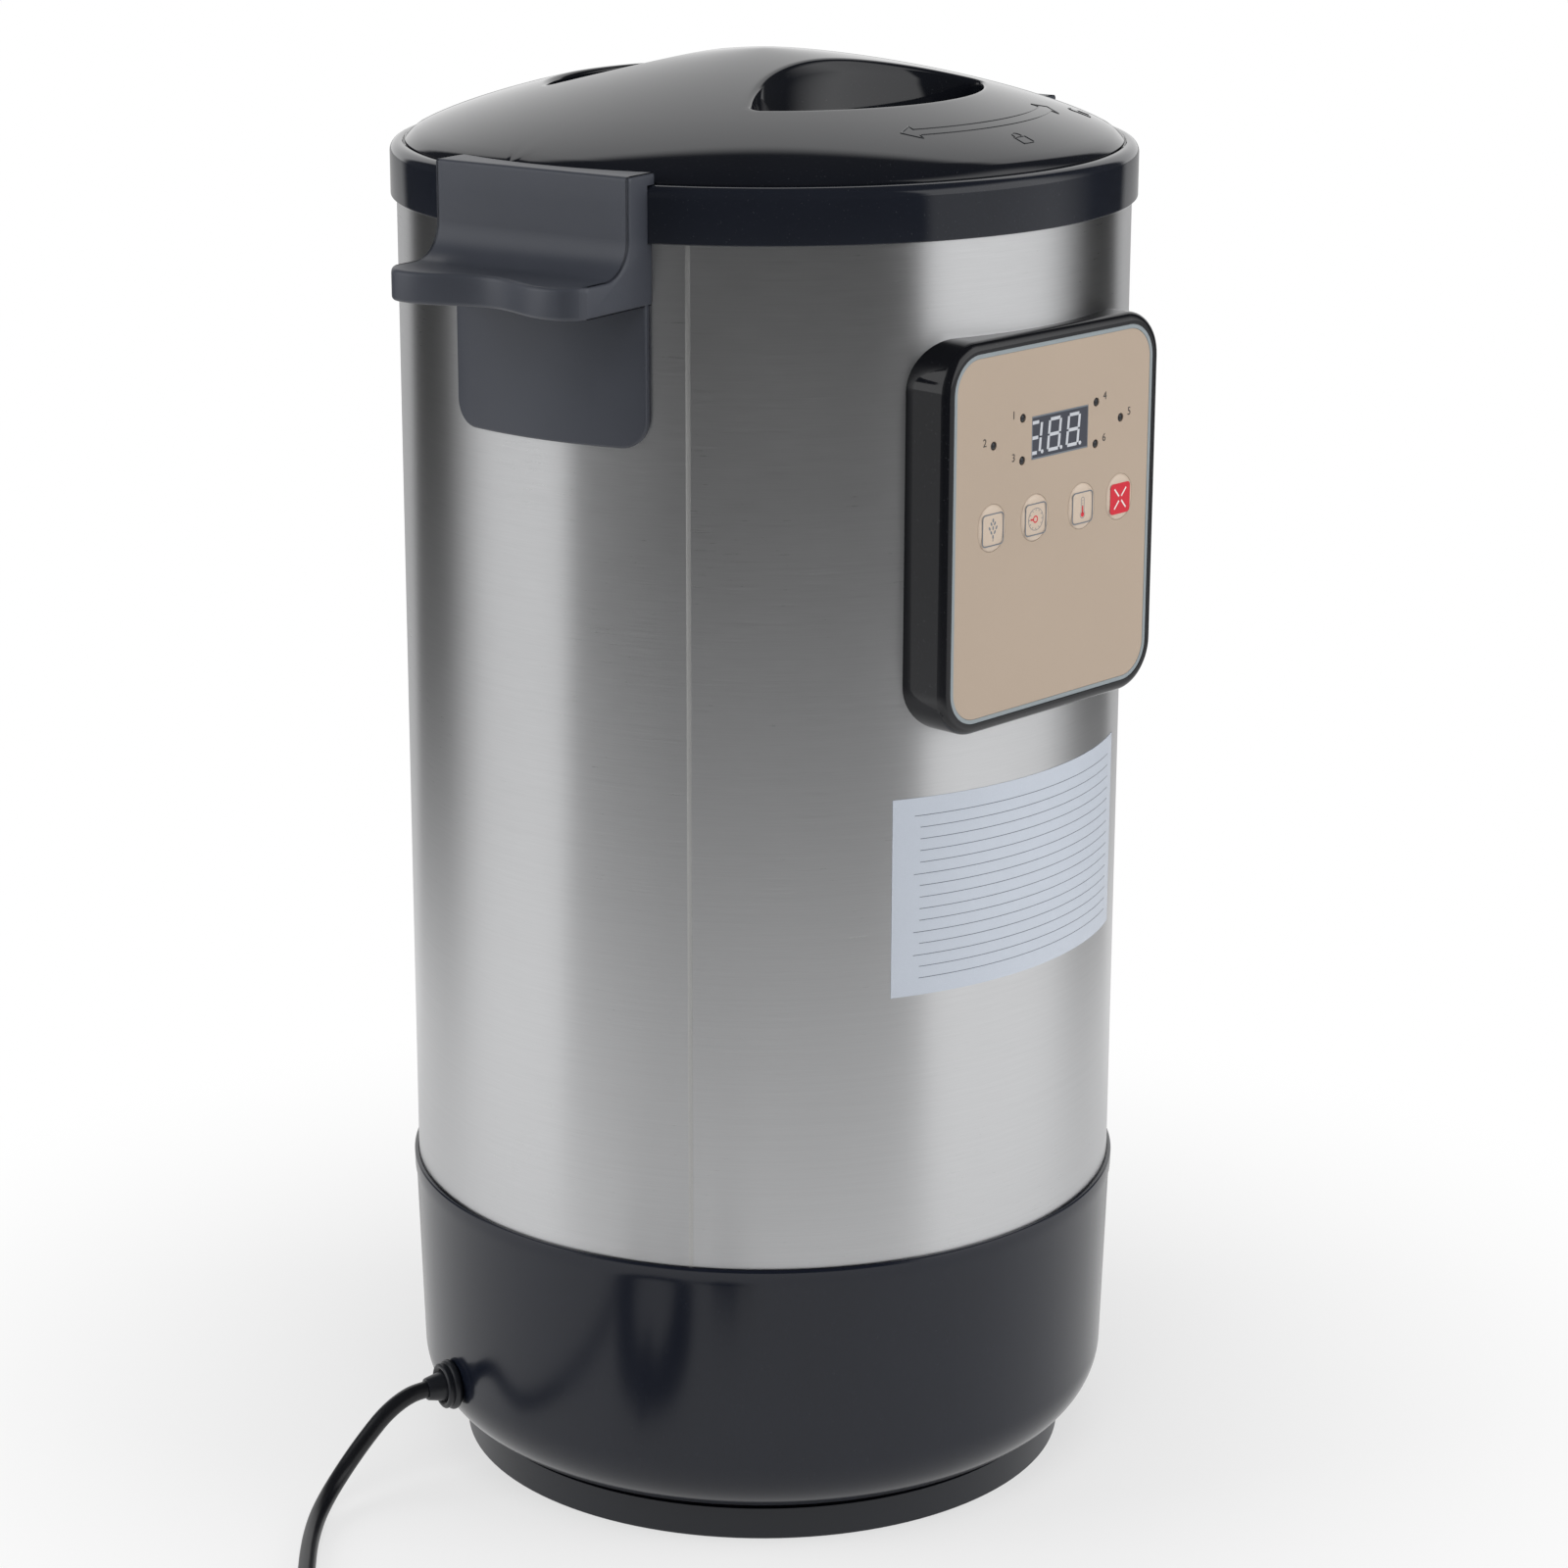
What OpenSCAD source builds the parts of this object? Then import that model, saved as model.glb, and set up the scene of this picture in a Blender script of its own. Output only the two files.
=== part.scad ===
// Electric fermenting pot: a steel drum with a fixed tank, a locking lid, two handles and a control box.
// The origin is the middle of the underside; the control box faces -Y. Millimetres.

/* [Body] */
// Outside radius of the steel drum
body_r = 140; // [136:0.5:150]
// Thickness of the drum's sheet steel
shell_t = 0.8; // [0.6:0.1:1.2]
// Height of the base cup's lip
base_h = 120.2; // [112:0.1:135]
// How far the base cup's lip stands out from the drum
lip_out = 1.8; // [1.2:0.1:3]
// Wall of the base cup
cup_t = 2.5; // [2:0.1:3]
// Rounding of the base cup's lower edge
cup_round = 27; // [22:1:30]
// Height of the foot ring
foot_h = 12; // [9:0.5:16]
// How far the foot ring stands in from the drum
foot_in = 17.8; // [17:0.1:22]
// Drum height between the base lip and the collar
drum_h = 386.2; // [330:1:430]
// Height of the collar
collar_h = 20.3; // [20.3:0.1:26]
// How far the collar stands out from the drum
collar_out = 2.3; // [1.6:0.1:3.5]

/* [Tank] */
// Space between the tank and the drum
wall_gap = 16.2; // [15.5:0.1:19]
// Thickness of the tank's sheet steel
tank_t = 1; // [0.8:0.1:1.2]
// Height of the tank's floor
tank_z = 84; // [80:1:95]
// Thickness of the felt around the tank
felt_t = 3; // [2:0.5:3]

/* [Lid] */
// Height of the lid's dome above its rim
dome_h = 32.5; // [28:0.5:40]
// Wall of the lid's dome
lid_t = 2.4; // [2:0.1:3]
// Gap between the lid's rim and the handles' lips
lid_gap = 1.1; // [0.8:0.1:2]
// Outer radius of the finger pockets in the lid
pocket_r = 82.5; // [70:0.5:90]
// Width of the lid's bridge at its middle
bridge_w = 54; // [44:1:64]

/* [Handles] */
// Angle from the control box round to the left handle
handle_angle = 81; // [75:1:95]
// Half the width of a handle
handle_hw = 42.6; // [38:0.1:48]
// How far a handle's grip reaches out from the drum
grip_out = 40; // [32:1:50]
// Depth of the dip in the middle of a grip
grip_dip = 8; // [4:0.5:10]
// Thickness of a grip
grip_t = 11.5; // [9:0.5:14]
// Length of a handle's plate below its grip
plate_drop = 51.5; // [40:0.5:60]

/* [Control box] */
// Width of the control box
box_w = 122; // [118:1:130]
// Height of the control box
box_h = 144.4; // [140:0.4:156]
// Height of the control box's middle
box_z = 398.7; // [370:0.1:410]
// How far the control box's face stands out from the drum
box_out = 5.3; // [5:0.1:9]
// Width of the black rim around the face
box_rim = 4.2; // [3:0.1:5]
// Width of the silver border
border_w = 1.8; // [1.2:0.1:2.4]
// Width of the display window
display_w = 32.4; // [28:0.2:36]
// Height of the display window
display_h = 16; // [13:0.2:17]
// Height of a key
key_h = 17; // [14:0.5:19]
// Width of a key
key_w = 15; // [12:0.5:17]
// Travel of a key
key_travel = 0.5; // [0.3:0.1:0.6]

/* [Label] */
// Width of the label, straight across
label_w = 128; // [100:1:150]
// Height of the label
label_h = 76.5; // [50:0.5:90]
// Height of the label's lower edge
label_z = 225.5; // [190:0.5:230]

/* [Cord] */
// Diameter of the mains cord
cord_d = 6.8; // [6:0.1:7]

/* [Hidden] */
$fn = 96;
fit = 0.3;                                   // gap between pieces that move or are curved
touch = 0.15;                                // gap between fixed pieces round the drum
past = 1;                                    // how far a cut runs on past a face

// Drum, base and tank
collar_z = base_h + drum_h;                  // underside of the collar
collar_r = body_r + collar_out;
collar_top = collar_z + collar_h;
shell_in = body_r - shell_t;
lip_r = body_r + lip_out;
cup_r = body_r - 1;                          // base cup just above its rounded edge
cup_mid = foot_h + cup_round;                // height where the rounding starts
cup_open_r = body_r - 40;                    // opening in the cup's floor
ledge_z = base_h - 16.2;                     // step in the cup on which the drum stands
foot_r = body_r - foot_in;
tank_out = shell_in - wall_gap;
tank_r = tank_out - tank_t;
flange_r = tank_r + 9;                       // outer radius of the tank's flange

// Collar, from its ledge under the tank up to its step under the lid
seat_z = collar_z + 3.6;
seat_t = 2;
seat_r = tank_out + 2.5;
gasket_t = 1.2;
flange_z = seat_z + gasket_t;                // underside of the tank's flange
flange_top = flange_z + tank_t;
neck_r = flange_r + 0.5;                     // collar's inner skirt
neck_t = 2.2;
shoulder_r = 4;                              // rounding of the collar's top edge
deck_z = collar_top - 2;
under_z = deck_z - 2.8;                      // underside of the collar's top

// Lid and its lock
lid_r = collar_r - shoulder_r - 1.8;
lid_bottom = deck_z + 0.5;
lid_z = collar_top + 0.8;                    // where the dome starts to round in
liner_z = flange_top + 4.8;                  // underside of the lid's liner
liner_t = 1.5;
skirt_r = neck_r - 4.1;                      // outside of the liner's skirt
lug_z = flange_top + 2.1;
lug_h = 3;
lug_count = 3;
lug_angle = 30;
rib_z = lug_z + lug_h + 1;                   // ribs of the collar, above the lugs
rib_h = 3.5;
rib_in = neck_r - 3.7;
rib_angle = 80;
rib_start = lug_angle / 2 + 5;

// Places of fasteners
column_r = body_r - 7;                       // columns of the base cup, under the drum
column_angles = [45, 135, 225, 315];
cover_screw_r = foot_r - 15.2;
cover_screws = 5;
cover_turn = 18;
boss_r = 5;

// A ring between two radii and two heights
module ring(ro, ri, z0, z1) {
    rotate_extrude() translate([ri, z0]) square([ro - ri, z1 - z0]);
}
// Part of a ring, from one angle to another
module ring_part(ro, ri, z0, z1, from, to) {
    rotate([0, 0, from]) rotate_extrude(angle = to - from) translate([ri, z0]) square([ro - ri, z1 - z0]);
}
// A disc or hole from one height to another
module disc(r, z0, z1) {
    translate([0, 0, z0]) cylinder(r = r, h = z1 - z0);
}
// Children built along +Z, turned to point outwards at angle a from the front, at height z
module spoke(a, z) {
    rotate([0, 0, a]) translate([0, 0, z]) rotate([90, 0, 0]) children();
}
// A rectangle with round corners
module soft_rect(w, h, r) {
    square([w - 2 * r, h], center = true);
    square([w, h - 2 * r], center = true);
    for (sx = [-1, 1], sz = [-1, 1]) translate([sx * (w / 2 - r), sz * (h / 2 - r)]) circle(r);
}
// Copies around the axis
module around(n, r, start = 0) {
    for (i = [0:n - 1]) rotate([0, 0, start + 360 * i / n]) translate([r, 0, 0]) children();
}
// Copies at the tops of the base cup's columns
module at_columns() {
    for (a = column_angles) rotate([0, 0, a]) translate([column_r, 0, 0]) children();
}
// A round rod between two points
module rod(a, b, r) {
    v = b - a;
    len = norm(v);
    translate(a) rotate([0, acos(v[2] / len), atan2(v[1], v[0])]) cylinder(r = r, h = len);
}

/* Base */
lip_h = 8;
lip_edge = 0.6;
column_hole = 14;
cover_boss_h = 12;
// Points round the cup's lower edge: r is the rounding, c the radius of its centre
function cup_arc(r, c, n = 10) = [for (i = [0:n]) [c + r * sin(90 * i / n), cup_mid - r * cos(90 * i / n)]];
function turned(p) = [for (i = [len(p) - 1:-1:0]) p[i]];
module base_cup() {
    edge_c = cup_r - cup_round;
    lip = [[lip_r - lip_edge, base_h - lip_h], [lip_r, base_h - 1], [lip_r - lip_edge, base_h]];
    outer = concat([[cup_open_r, foot_h]], cup_arc(cup_round, edge_c), lip);
    step = [[body_r + touch, base_h], [body_r + touch, ledge_z], [cup_r - cup_t, ledge_z]];
    inner = concat(step, turned(cup_arc(cup_round - cup_t, edge_c)), [[cup_open_r, foot_h + cup_t]]);
    color("#3b3d47") difference() {
        union() {
            rotate_extrude() polygon(concat(outer, inner));
            intersection() {
                rotate_extrude() polygon(concat([[0, foot_h]], outer, [[0, base_h]]));
                at_columns() disc(boss_r, cup_mid, ledge_z - touch);
            }
            around(cover_screws, cover_screw_r, cover_turn) disc(boss_r - 0.5, foot_h, foot_h + cover_boss_h);
        }
        at_columns() disc(1.3, ledge_z - column_hole, ledge_z + past);
        around(cover_screws, cover_screw_r, cover_turn) disc(1.55, foot_h - past, foot_h + cover_boss_h - 2);
        spoke(cord_angle, cord_z) disc(grommet_neck + touch, cup_r - 20, cup_r + 20);
    }
}
cover_t = 3;
cover_wall = 2.5;
cover_lap = 0.6;                             // how far the foot ring reaches into the cup
inner_rib = 2;                               // half the thickness of the ring that carries the screws
board_post = [50, 35];
board_posts = [for (y = [-1, 1], x = [-1, 1]) [x * board_post[0], y * board_post[1]]];
board_z = 18;
pad_r = 9;
pad_t = 2;
pad_at = foot_r - 34.2;
vent = [4, 26];
vent_y = 50;
module bottom_cover() {
    color("#2e3036") difference() {
        union() {
            cylinder(r = foot_r, h = cover_t);
            ring(foot_r, foot_r - cover_wall, 0, foot_h + cover_lap);
            ring(cover_screw_r + inner_rib, cover_screw_r - inner_rib, 0, foot_h - 1);
            around(cover_screws, cover_screw_r, cover_turn) cylinder(r = boss_r, h = foot_h);
            for (p = board_posts) translate(p) cylinder(r = 3.5, h = board_z);
        }
        around(4, pad_at, 45) disc(pad_r + fit, -past, pad_t);
        around(cover_screws, cover_screw_r, cover_turn) {
            disc(3.7, -past, cover_t);
            disc(1.7, 0, foot_h + past);
        }
        for (p = board_posts) translate(p) disc(1.3, board_z - 10, board_z + past);
        for (x = [-30:12:30]) translate([x - vent[0] / 2, vent_y, -past])
            cube([vent[0], vent[1], cover_t + 2]);
    }
}
module foot_pads() {
    color("#202124") around(4, pad_at, 45) cylinder(r = pad_r, h = pad_t);
}
module bottom_screws() {
    color("silver") around(cover_screws, cover_screw_r, cover_turn) {
        disc(3.3, cover_t - 2.4, cover_t);
        disc(1.5, cover_t - 1, cover_t + foot_h + 5);
    }
}

/* Drum */
bottom_flange = 10;                          // how far the drum's bottom flange reaches in
screw_angles = [-11.5, 11.5];
screw_rows = [-18, -5];                      // handle screws, below the collar
box_screw_angle = 20;
box_screw_z = 61.5;
tub_w = 100;
tub_h = 112;
harness_d = tank_out + felt_t + 4.8;         // wires between the felt and the drum
harness_angle = 11.9;
harness_r = 2.5;
module at_handle_screws() {
    for (h = [-handle_angle, 180 - handle_angle], a = screw_angles, z = screw_rows)
        spoke(h + a, collar_z + z) children();
}
module at_box_screws() {
    for (a = [-1, 1], z = [-1, 1]) spoke(a * box_screw_angle, box_z + z * box_screw_z) children();
}
module at_harness() {
    rotate([0, 0, harness_angle]) translate([0, -harness_d, 0]) children();
}
module shell() {
    color("#c9cbcd") difference() {
        union() {
            ring(body_r, shell_in, ledge_z, under_z);
            ring(shell_in + 0.1, body_r - bottom_flange, ledge_z, ledge_z + shell_t);
        }
        at_handle_screws() disc(2.2, body_r - 10, body_r + 10);
        at_box_screws() disc(1.9, body_r - 10, body_r + 10);
        translate([-tub_w / 2 - 1, -body_r - 5, box_z - tub_h / 2 - 1]) cube([tub_w + 2, 40, tub_h + 2]);
        at_columns() disc(1.6, ledge_z - past, ledge_z + shell_t + past);
        at_harness() disc(4, ledge_z - past, ledge_z + shell_t + past);
    }
}
shield_r = tank_out + 4;
shield_t = 0.8;
shield_z = tank_z - 26;
module shell_screws() {
    head_z = ledge_z + shell_t + shield_t;
    color("silver") at_columns() {
        disc(1.25, ledge_z - 10, head_z + 1);
        disc(3, head_z, head_z + 2);
    }
}
module heat_shield() {
    top = ledge_z + shell_t;
    color("#b4b6b8") difference() {
        union() {
            ring(shield_r, shield_r - shield_t, shield_z, top + shield_t);
            disc(shield_r, shield_z, shield_z + shield_t);
            ring(column_r + 3.5, shield_r - shield_t, top, top + shield_t);
        }
        at_columns() disc(1.6, top - past, top + shield_t + past);
        at_harness() disc(3.6, top - past, top + shield_t + past);
    }
}
module felt_jacket() {
    color("#e8e4da") ring(tank_out + felt_t, tank_out, ledge_z + 6, seat_z - seat_t - 2);
}
module tank() {
    outside = [[0, tank_z], [tank_out, tank_z], [tank_out, flange_z], [flange_r, flange_z]];
    inside = [[flange_r, flange_top], [tank_r, flange_top], [tank_r, tank_z + tank_t], [0, tank_z + tank_t]];
    color("#d2d4d6") rotate_extrude() polygon(concat(outside, inside));
}
module tank_gasket() {
    color("#d8d8d0") ring(flange_r, tank_out + 3, seat_z, flange_z);
}
module collar() {
    edge = [collar_r - shoulder_r, collar_top - shoulder_r];
    corner = [for (a = [0:15:90]) edge + shoulder_r * [cos(a), sin(a)]];
    step_r = lid_r + 0.8;
    top = [[step_r, collar_top], [step_r, deck_z], [neck_r, deck_z], [neck_r, seat_z], [seat_r, seat_z]];
    back = [[seat_r, seat_z - seat_t], [neck_r + neck_t, seat_z - seat_t], [neck_r + neck_t, under_z]];
    outside = [[body_r + touch, under_z], [body_r + touch, collar_z], [collar_r, collar_z]];
    color("#141416") {
        rotate_extrude() polygon(concat(outside, corner, top, back));
        for (i = [0:lug_count - 1]) {
            from = 360 * i / lug_count + rib_start;
            ring_part(neck_r + 0.5, rib_in, rib_z, rib_z + rib_h, from, from + rib_angle);
        }
    }
}

/* Handles */
plate_d = body_r + 7;                        // flat face of a handle's upper part
handle_rise = 4.3;                           // how far a handle stands above the collar
grip_z = collar_z - 21.9;                    // underside of the grips
grip_top = grip_z + grip_t;
grip_tip = body_r + grip_out;
grip_corner = 6;
grip_lobe = 30;                              // where a grip reaches furthest, from its middle
hand_fillet = 13;
lower_t = 3.5;
lower_corner = 10;
function grip_edge(t) = grip_tip - grip_dip * (0.5 + 0.5 * cos(180 * t / grip_lobe));
module grip_shape() {
    flat = handle_hw - grip_corner;
    side = grip_edge(flat);
    bend = [for (a = [0:22.5:90]) [flat + grip_corner * cos(a), side - grip_corner + grip_corner * sin(a)]];
    front = [for (t = [flat - 2:-3:2 - flat]) [t, grip_edge(t)]];
    left = [for (p = turned(bend)) [-p[0], p[1]]];
    polygon(concat([[-handle_hw, body_r - 15], [handle_hw, body_r - 15]], bend, front, left));
}
module lower_plate() {
    intersection() {
        ring(body_r + lower_t, body_r - 1, grip_z - plate_drop, grip_z + 1);
        translate([0, 20 - body_r, grip_z - plate_drop / 2]) rotate([90, 0, 0]) linear_extrude(40) union() {
            soft_rect(2 * handle_hw, plate_drop, lower_corner);
            translate([-handle_hw, 0]) square([2 * handle_hw, plate_drop / 2 + 1]);
        }
    }
}
module fillet_bar() {
    wide = 2 * handle_hw;
    difference() {
        translate([-handle_hw, -plate_d - hand_fillet, grip_top - 1])
            cube([wide, hand_fillet + 1, hand_fillet + 1]);
        translate([-handle_hw - past, -plate_d - hand_fillet, grip_top + hand_fillet]) rotate([0, 90, 0])
            cylinder(r = hand_fillet, h = wide + 2 * past);
    }
}
module handle() {
    color("#34363b") difference() {
        union() {
            translate([-handle_hw, -plate_d, grip_z])
                cube([2 * handle_hw, 24, collar_top + handle_rise - grip_z]);
            mirror([0, 1, 0]) translate([0, 0, grip_z]) linear_extrude(grip_t) grip_shape();
            fillet_bar();
            lower_plate();
        }
        disc(body_r + touch, grip_z - plate_drop - past, collar_z + past);
        disc(collar_r + touch, collar_z - touch, collar_top + touch);
        disc(lid_r + lid_gap, collar_top, collar_top + 20);
        for (a = screw_angles, z = screw_rows) spoke(a, collar_z + z) disc(1.55, body_r - 1, body_r + 8);
    }
}
module handle_left() {
    rotate([0, 0, -handle_angle]) handle();
}
module handle_right() {
    rotate([0, 0, 180 - handle_angle]) handle();
}
module handle_screws() {
    color("silver") at_handle_screws() {
        disc(3.5, shell_in - 2.6, shell_in - 0.1);
        disc(1.5, shell_in - 1, shell_in + 6.5);
    }
}

/* Label */
label_t = 0.2;
label_gap = 0.05;
module info_label() {
    color("#d2d9e3") intersection() {
        ring(body_r + label_gap + label_t, body_r + label_gap, label_z, label_z + label_h);
        translate([-label_w / 2, -body_r - 5, label_z - past]) cube([label_w, body_r, label_h + 2 * past]);
    }
}

/* Heater and its controls, under the tank */
heater_h = 6;
heater_r = tank_r - 37;
heater_z = tank_z - heater_h;
element = [heater_r - 18, heater_r - 28, 6]; // outer and inner radius and depth of the heating element
sensor_r = 7;
stud_at = 25;
cutout = [42, 8, 7];                         // distance from the axis, radius, depth
module heater_plate() {
    color("#a9abad") difference() {
        disc(heater_r, heater_z, tank_z);
        disc(sensor_r + fit, heater_z - past, tank_z + past);
        around(3, stud_at, 90) disc(2.3, heater_z - past, tank_z + past);
    }
}
module heater_ring() {
    color("#8b8d90") ring(element[0], element[1], heater_z - element[2], heater_z);
}
module heater_studs() {
    color("silver") around(3, stud_at, 90) {
        disc(2, heater_z - 10, tank_z);
        translate([0, 0, heater_z - 3]) cylinder(r = 4, h = 3, $fn = 6);
    }
}
module thermal_cutout() {
    color("#b9a06a") translate([-cutout[0], 0, 0]) disc(cutout[1], heater_z - cutout[2], heater_z);
}
module thermal_fuse() {
    color("#d9d9d9") {
        translate([35, -3, heater_z - 4]) cube([14, 6, 4]);
        translate([32, 0, heater_z - 3]) rotate([0, 90, 0]) cylinder(r = 2, h = 20);
    }
}
module temperature_sensor() {
    color("#c4c6c8") {
        disc(sensor_r, heater_z - 8, tank_z);
        disc(sensor_r + 4, heater_z - 1.5, heater_z);
    }
}

/* Power board, in the base */
board = [112, 82, 1.6];
board_top = board_z + board[2];
transformer_at = [6, -18];
transformer_size = [36, 36, 30];
relay_at = [-24, 12];
relay_size = [20, 16, 16];
fuse_at = [-22, -6];
fuse_l = 20;
clip = [4, 6, 4];
terminal_at = [-54, -12];
terminal_size = [14, 36, 14];
module power_board() {
    color("#3f6b3c") difference() {
        translate([-board[0] / 2, -board[1] / 2, board_z]) cube(board);
        for (p = board_posts) translate(p) disc(1.6, board_z - past, board_top + past);
    }
}
module power_board_screws() {
    color("silver") for (p = board_posts) translate(p) {
        disc(1.25, board_z - 8, board_top + 1);
        disc(2.8, board_top, board_top + 2);
    }
}
module transformer() {
    color("#c9b23a") translate([transformer_at[0], transformer_at[1], board_top]) cube(transformer_size);
}
module relay() {
    color("#2f5fa8") translate([relay_at[0], relay_at[1], board_top]) cube(relay_size);
}
module fuse() {
    color("#e4e4e4") {
        translate([fuse_at[0], fuse_at[1], board_top + clip[2]]) rotate([0, 90, 0])
            cylinder(r = 2.6, h = fuse_l);
        for (x = [0, fuse_l - clip[0]]) translate([fuse_at[0] + x, fuse_at[1] - clip[1] / 2, board_top])
            cube(clip);
    }
}
module terminal_block() {
    color("#e8e8e4") translate([terminal_at[0], terminal_at[1], board_top]) cube(terminal_size);
}
harness_low = 52;                            // height of the bend in the wires
wire_plug = [12, 8, 8];
wire_plug_at = [24, -40];
module wire_harness() {
    low = [harness_d * sin(harness_angle), -harness_d * cos(harness_angle), harness_low];
    color("#2a2a2c") {
        translate(low) cylinder(r = harness_r, h = box_z - tub_h / 2 - harness_low);
        translate(low) sphere(harness_r + 0.1);
        rod(low, [wire_plug_at[0] + wire_plug[0] / 2, wire_plug_at[1] + 2, board_top + 3], harness_r);
        translate([wire_plug_at[0], wire_plug_at[1], board_top]) cube(wire_plug);
    }
}

/* Cord */
cord_angle = -109;
cord_z = 39.2;
cord_r = cord_d / 2;
grommet_neck = 7;
grommet_from = cup_r - 12;
grommet_flange = cup_r + fit;
grommet_edge = 10;
nose_tip = grommet_flange + 12;
coil_at = [-265, -75];
coil_rows = [30.7, 44.3];                    // centre radii of the inmost and outmost turns
coil_h = 13.6;
run_route = [
    [nose_tip * sin(cord_angle), -nose_tip * cos(cord_angle), cord_z], [-149, 51.2, 38.4], [-155, 53.1, 35.8],
    [-161, 54.9, 31.6], [-167, 56.4, 26], [-173.5, 57.5, 19.8], [-181, 57.6, 13.4], [-190, 55.4, 8],
    [-200, 50, 4.8], [-210.5, 41.6, 3.6], [-221, 31.6, 3.4], [-231.5, 20.6, 3.4], [-243, 8.4, 3.4],
    [-255.5, -5, 3.4], [-268, -17.2, 3.4], [-280.6, -29, 3.4]
];
tail_route = [[-283.8, -119.8, 10.2], [-275.3, -128.9, 10], [-266.8, -138, 10]];
function unit(v) = v / norm(v);
function heading(p, i) = unit(p[min(i + 1, len(p) - 1)] - p[max(i - 1, 0)]);
function tube_ring(p, i, r, n) = let(d = heading(p, i), s = unit(cross(d, [0, 0, 1])), u = cross(s, d))
    [for (k = [0:n - 1]) p[i] + r * (cos(360 * k / n) * s + sin(360 * k / n) * u)];
module tube(p, r, n = 10) {
    rings = len(p);
    points = [for (i = [0:rings - 1]) each tube_ring(p, i, r, n)];
    sides = [for (i = [0:rings - 2], k = [0:n - 1])
        [i * n + k, i * n + (k + 1) % n, (i + 1) * n + (k + 1) % n, (i + 1) * n + k]];
    ends = [[for (k = [n - 1:-1:0]) k], [for (k = [0:n - 1]) (rings - 1) * n + k]];
    polyhedron(points, concat(ends, sides));
}
// The lead's slanted end stays clear of the grommet and meets the terminal block
module mains_lead() {
    inner = grommet_from - 0.8;
    start = [inner * sin(cord_angle), -inner * cos(cord_angle), cord_z];
    end = [terminal_at[0] - 1.4, terminal_at[1] + 30.4, board_top + 8];
    color("#1c1c1e") rod(start, end, cord_r - 0.4);
}
module cord_grommet() {
    neck = [[0, grommet_from], [grommet_neck - 0.5, grommet_from], [grommet_neck, grommet_from + 2]];
    flange = [[grommet_neck, grommet_flange], [grommet_edge - 1, grommet_flange],
        [grommet_edge, grommet_flange + 1], [grommet_edge, grommet_flange + 3],
        [grommet_edge - 1, grommet_flange + 4]];
    nose = [[grommet_neck - 0.4, grommet_flange + 4], [cord_r + 1, nose_tip], [0, nose_tip]];
    color("#1a1b1e") spoke(cord_angle, cord_z) rotate_extrude() polygon(concat(neck, flange, nose));
}
module power_cord() {
    color("#1c1c1f") {
        tube(run_route, cord_r);
        tube(tail_route, cord_r);
    }
}
module cord_coil() {
    color("#1c1c1f") translate(coil_at) ring(coil_rows[1] + cord_r, coil_rows[0] - cord_r, 0, coil_h);
}
tie_w = 8;
tie_t = 1;
tie_turn = 20;
module cord_tie() {
    inside = coil_rows[0] - cord_r - fit;
    outside = coil_rows[1] + cord_r + fit;
    top = coil_h + fit;
    color("#2c2c30") translate(coil_at) rotate([0, 0, tie_turn]) difference() {
        translate([inside - tie_t, -tie_w / 2, 0])
            cube([outside - inside + 2 * tie_t, tie_w, top + tie_t]);
        translate([inside, -tie_w / 2 - past, -past])
            cube([outside - inside, tie_w + 2 * past, top + past]);
    }
}
plug_w = 34;
plug_neck = 16;
plug_l = 34;
plug_corner = 8;
pin_r = 2.4;
pin_l = 19;
pin_side = 9.5;
module plug_place() {
    end = tail_route[2];
    way = end - tail_route[1];
    translate(end) rotate([0, 0, atan2(way[1], way[0])]) rotate([0, 90, 0]) children();
}
module plug_body() {
    color("#1c1c1f") plug_place() {
        cylinder(r1 = cord_r + 0.8, r2 = 6.5, h = plug_neck);
        translate([0, 0, plug_neck]) linear_extrude(plug_l) soft_rect(2 * tail_route[2][2], plug_w, plug_corner);
    }
}
module plug_pins() {
    root = plug_neck + plug_l;
    color("#c8b060") plug_place() for (y = [-pin_side, pin_side]) translate([0, y])
        disc(pin_r, root, root + pin_l);
}

/* Control box, built on its face: x across, y up, depth from the drum's axis */
face_d = body_r + box_out;
recess_d = face_d - 1.5;
film_d = face_d - 0.3;
box_root = body_r - 40;
box_corner = 18;
face_w = box_w - 2 * (box_rim + border_w);
face_h = box_h - 2 * (box_rim + border_w);
face_corner = box_corner - box_rim - border_w;
seal_rise = 1.2;                             // the gasket's thickness, let into the box's back
seal_in = 3;
seal_w = 3;
tub_d = tank_out + felt_t + 1;
tub_wall = 2;
tub_floor = tub_d + tub_wall;
pcb_d = face_d - 11.4;
pcb_t = 1.6;
pcb_front = pcb_d + pcb_t;
pcb_post = [40, 48];
pcb_posts = [for (y = [-1, 1], x = [-1, 1]) [x * pcb_post[0], y * pcb_post[1]]];
display_at = [3, 33.2];
key_at = [[-35, 3.6], [-10.8, 3.6], [16.3, 3.6], [38.5, 3.6]];
led_at = [[-18.4, 41.4], [-34.6, 33.6], [-18.4, 25.8], [23.8, 41.4], [38.4, 33.6], [23.8, 25.8]];
led_r = 1.5;
module out(d0, d1) {
    translate([0, -d0, box_z]) rotate([90, 0, 0]) linear_extrude(d1 - d0) children();
}
module box_shape(inset) {
    soft_rect(box_w - 2 * inset, box_h - 2 * inset, box_corner - inset);
}
module seal_shape(play) {
    difference() {
        box_shape(seal_in + play);
        box_shape(seal_in + seal_w - play);
    }
}
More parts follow.
